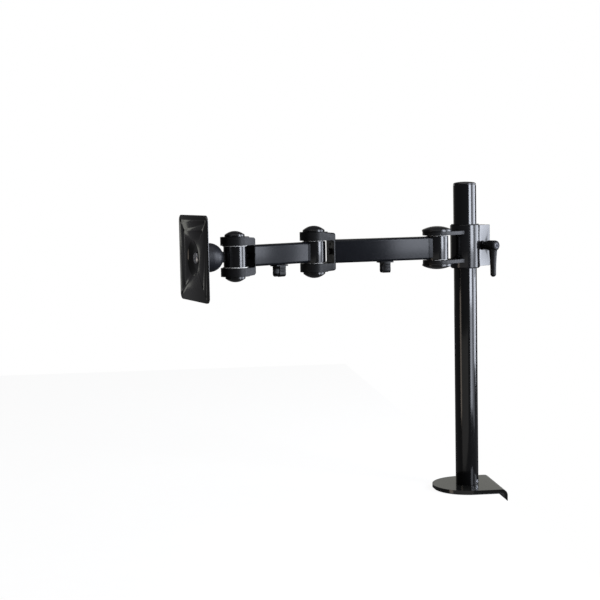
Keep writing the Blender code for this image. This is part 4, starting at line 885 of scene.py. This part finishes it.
kept = {"post_foot": zinc, "post_bolt": zinc, "inner_arm_insert": cast_coat, "outer_arm_insert": cast_coat,
        "lever_spring": zinc,
        "tilt_pin": zinc}
for joint_name in ("shoulder", "elbow", "wrist"):
    kept[joint_name + "_pivot"] = kept[joint_name + "_nut"] = zinc
for joint_name in ("elbow", "wrist"):
    kept[joint_name + "_fork_pin"] = dark_zinc
for node, finish in kept.items():
    held = frame["nodes"][node]
    held.data.materials.clear()
    held.data.materials.append(finish)


# ---------------------------------------------------------------- desk top, light and camera

def make_stage():
    """Pale desk top that the clamp grips, whose edge stops just short of the bend."""
    edge = measure("base_plate", on_post)[1].x - BEND - 3.5
    pad_top = measure("pressure_pad", on_post)[1].z
    desk = block("desk_top", (-1500, -1500, pad_top + 0.3), (edge, 1500, -0.3))
    white = Finish("pale_desk_top", shine=0.0)
    grain = white.noise(30.0, 3.0)
    white.surface(white.blend(grain, (0.08, 0.08, 0.08), (0.10, 0.10, 0.10)), grain * 0.1 + 0.5)
    white.shader.inputs["Emission Color"].default_value = (1, 1, 1, 1)
    white.shader.inputs["Emission Strength"].default_value = 0.93
    desk.data.materials.append(white.material)
    desk.visible_glossy = False
    desk.visible_diffuse = False
    desk.visible_shadow = False


def make_softbox(name, where, aim, width, height, power, tint=(1, 1, 1)):
    light = bpy.data.lights.new(name, 'AREA')
    light.shape, light.size, light.size_y = 'RECTANGLE', width, height
    light.energy, light.color = power, tint
    lamp = bpy.data.objects.new(name, light)
    bpy.context.scene.collection.objects.link(lamp)
    lamp.location = where
    lamp.rotation_euler = (Vector(aim) - Vector(where)).to_track_quat('-Z', 'Y').to_euler()
    return lamp


def make_wall(name, left, right, low, high, radiance, tint):
    """Upright softbox between two points on the ground plan, which faces the arm."""
    left, right = Vector((*left, 0)), Vector((*right, 0))
    middle = (left + right) / 2 + Vector((0, 0, (low + high) / 2))
    width, height = (right - left).length, high - low
    across = (right - left).cross(Vector((0, 0, 1)))
    if across.dot(middle) > 0:
        across = -across
    return make_softbox(name, middle, middle + across, width, height, radiance * math.pi * width * height,
                        tint)


def make_light():
    scene = bpy.context.scene
    scene.world = bpy.data.worlds.new("studio")
    scene.world.use_nodes = True
    tree = scene.world.node_tree
    sky = tree.nodes["Background"]
    sky.inputs["Color"].default_value = (0.10, 0.10, 0.105, 1)
    seen = tree.nodes.new('ShaderNodeBackground')
    seen.inputs["Color"].default_value = (1, 1, 1, 1)
    path = tree.nodes.new('ShaderNodeLightPath')
    mix = tree.nodes.new('ShaderNodeMixShader')
    tree.links.new(path.outputs["Is Camera Ray"], mix.inputs[0])
    tree.links.new(sky.outputs[0], mix.inputs[1])
    tree.links.new(seen.outputs[0], mix.inputs[2])
    tree.links.new(mix.outputs[0], tree.nodes["World Output"].inputs["Surface"])
    cool = (0.84, 0.89, 1.0)
    make_wall("right_softbox", (0.62, -1.04), (1.02, -0.775), 0.27, 1.3, 17.0, cool)
    make_wall("right_softbox_skirt", (0.62, -1.04), (1.02, -0.775), -0.30, 0.27, 6.0, cool)
    make_wall("right_fill", (1.02, -0.775), (1.04, -0.26), -0.30, 1.1, 2.0, cool)
    make_wall("far_right_strip", (1.04, -0.26), (1.04, 0.40), 0.0, 0.9, 9.0, cool)
    make_wall("left_strip", (-1.42, -0.80), (-1.52, -0.48), -0.5, 0.45, 2.2, (1.0, 0.85, 0.72))
    make_wall("low_glow", (-1.6, -0.9), (0.3, -2.3), -1.0, 0.05, 0.35, (1.0, 0.98, 0.94))
    make_wall("back_wall", (-1.6, 2.4), (1.4, 2.4), 0.1, 1.4, 0.34, (1.0, 1.0, 0.9))
    make_softbox("top_softbox", (-0.3, -0.5, 1.8), (-0.2, 0.0, 0.3), 1.4, 1.4, 9.0)


def make_camera():
    """Camera a little left of the post, above the arms and looking slightly down."""
    lens = bpy.data.cameras.new("camera")
    lens.lens, lens.sensor_width = 80.85, 36.0
    camera = bpy.data.objects.new("camera", lens)
    bpy.context.scene.collection.objects.link(camera)
    ahead = Vector((0.11580449, 0.98977618, -0.08326121))
    right = Vector((0.99285872, -0.11776684, -0.01904028))
    up = Vector((0.02865102, 0.08046167, 0.99634584))
    turn = Matrix((right, up, -ahead)).transposed().to_4x4()
    camera.matrix_world = Matrix.Translation((-0.49141, -2.01581, 0.46893)) @ turn
    bpy.context.scene.camera = camera
    bpy.context.scene.view_settings.view_transform = 'Standard'


make_stage()
make_light()
make_camera()
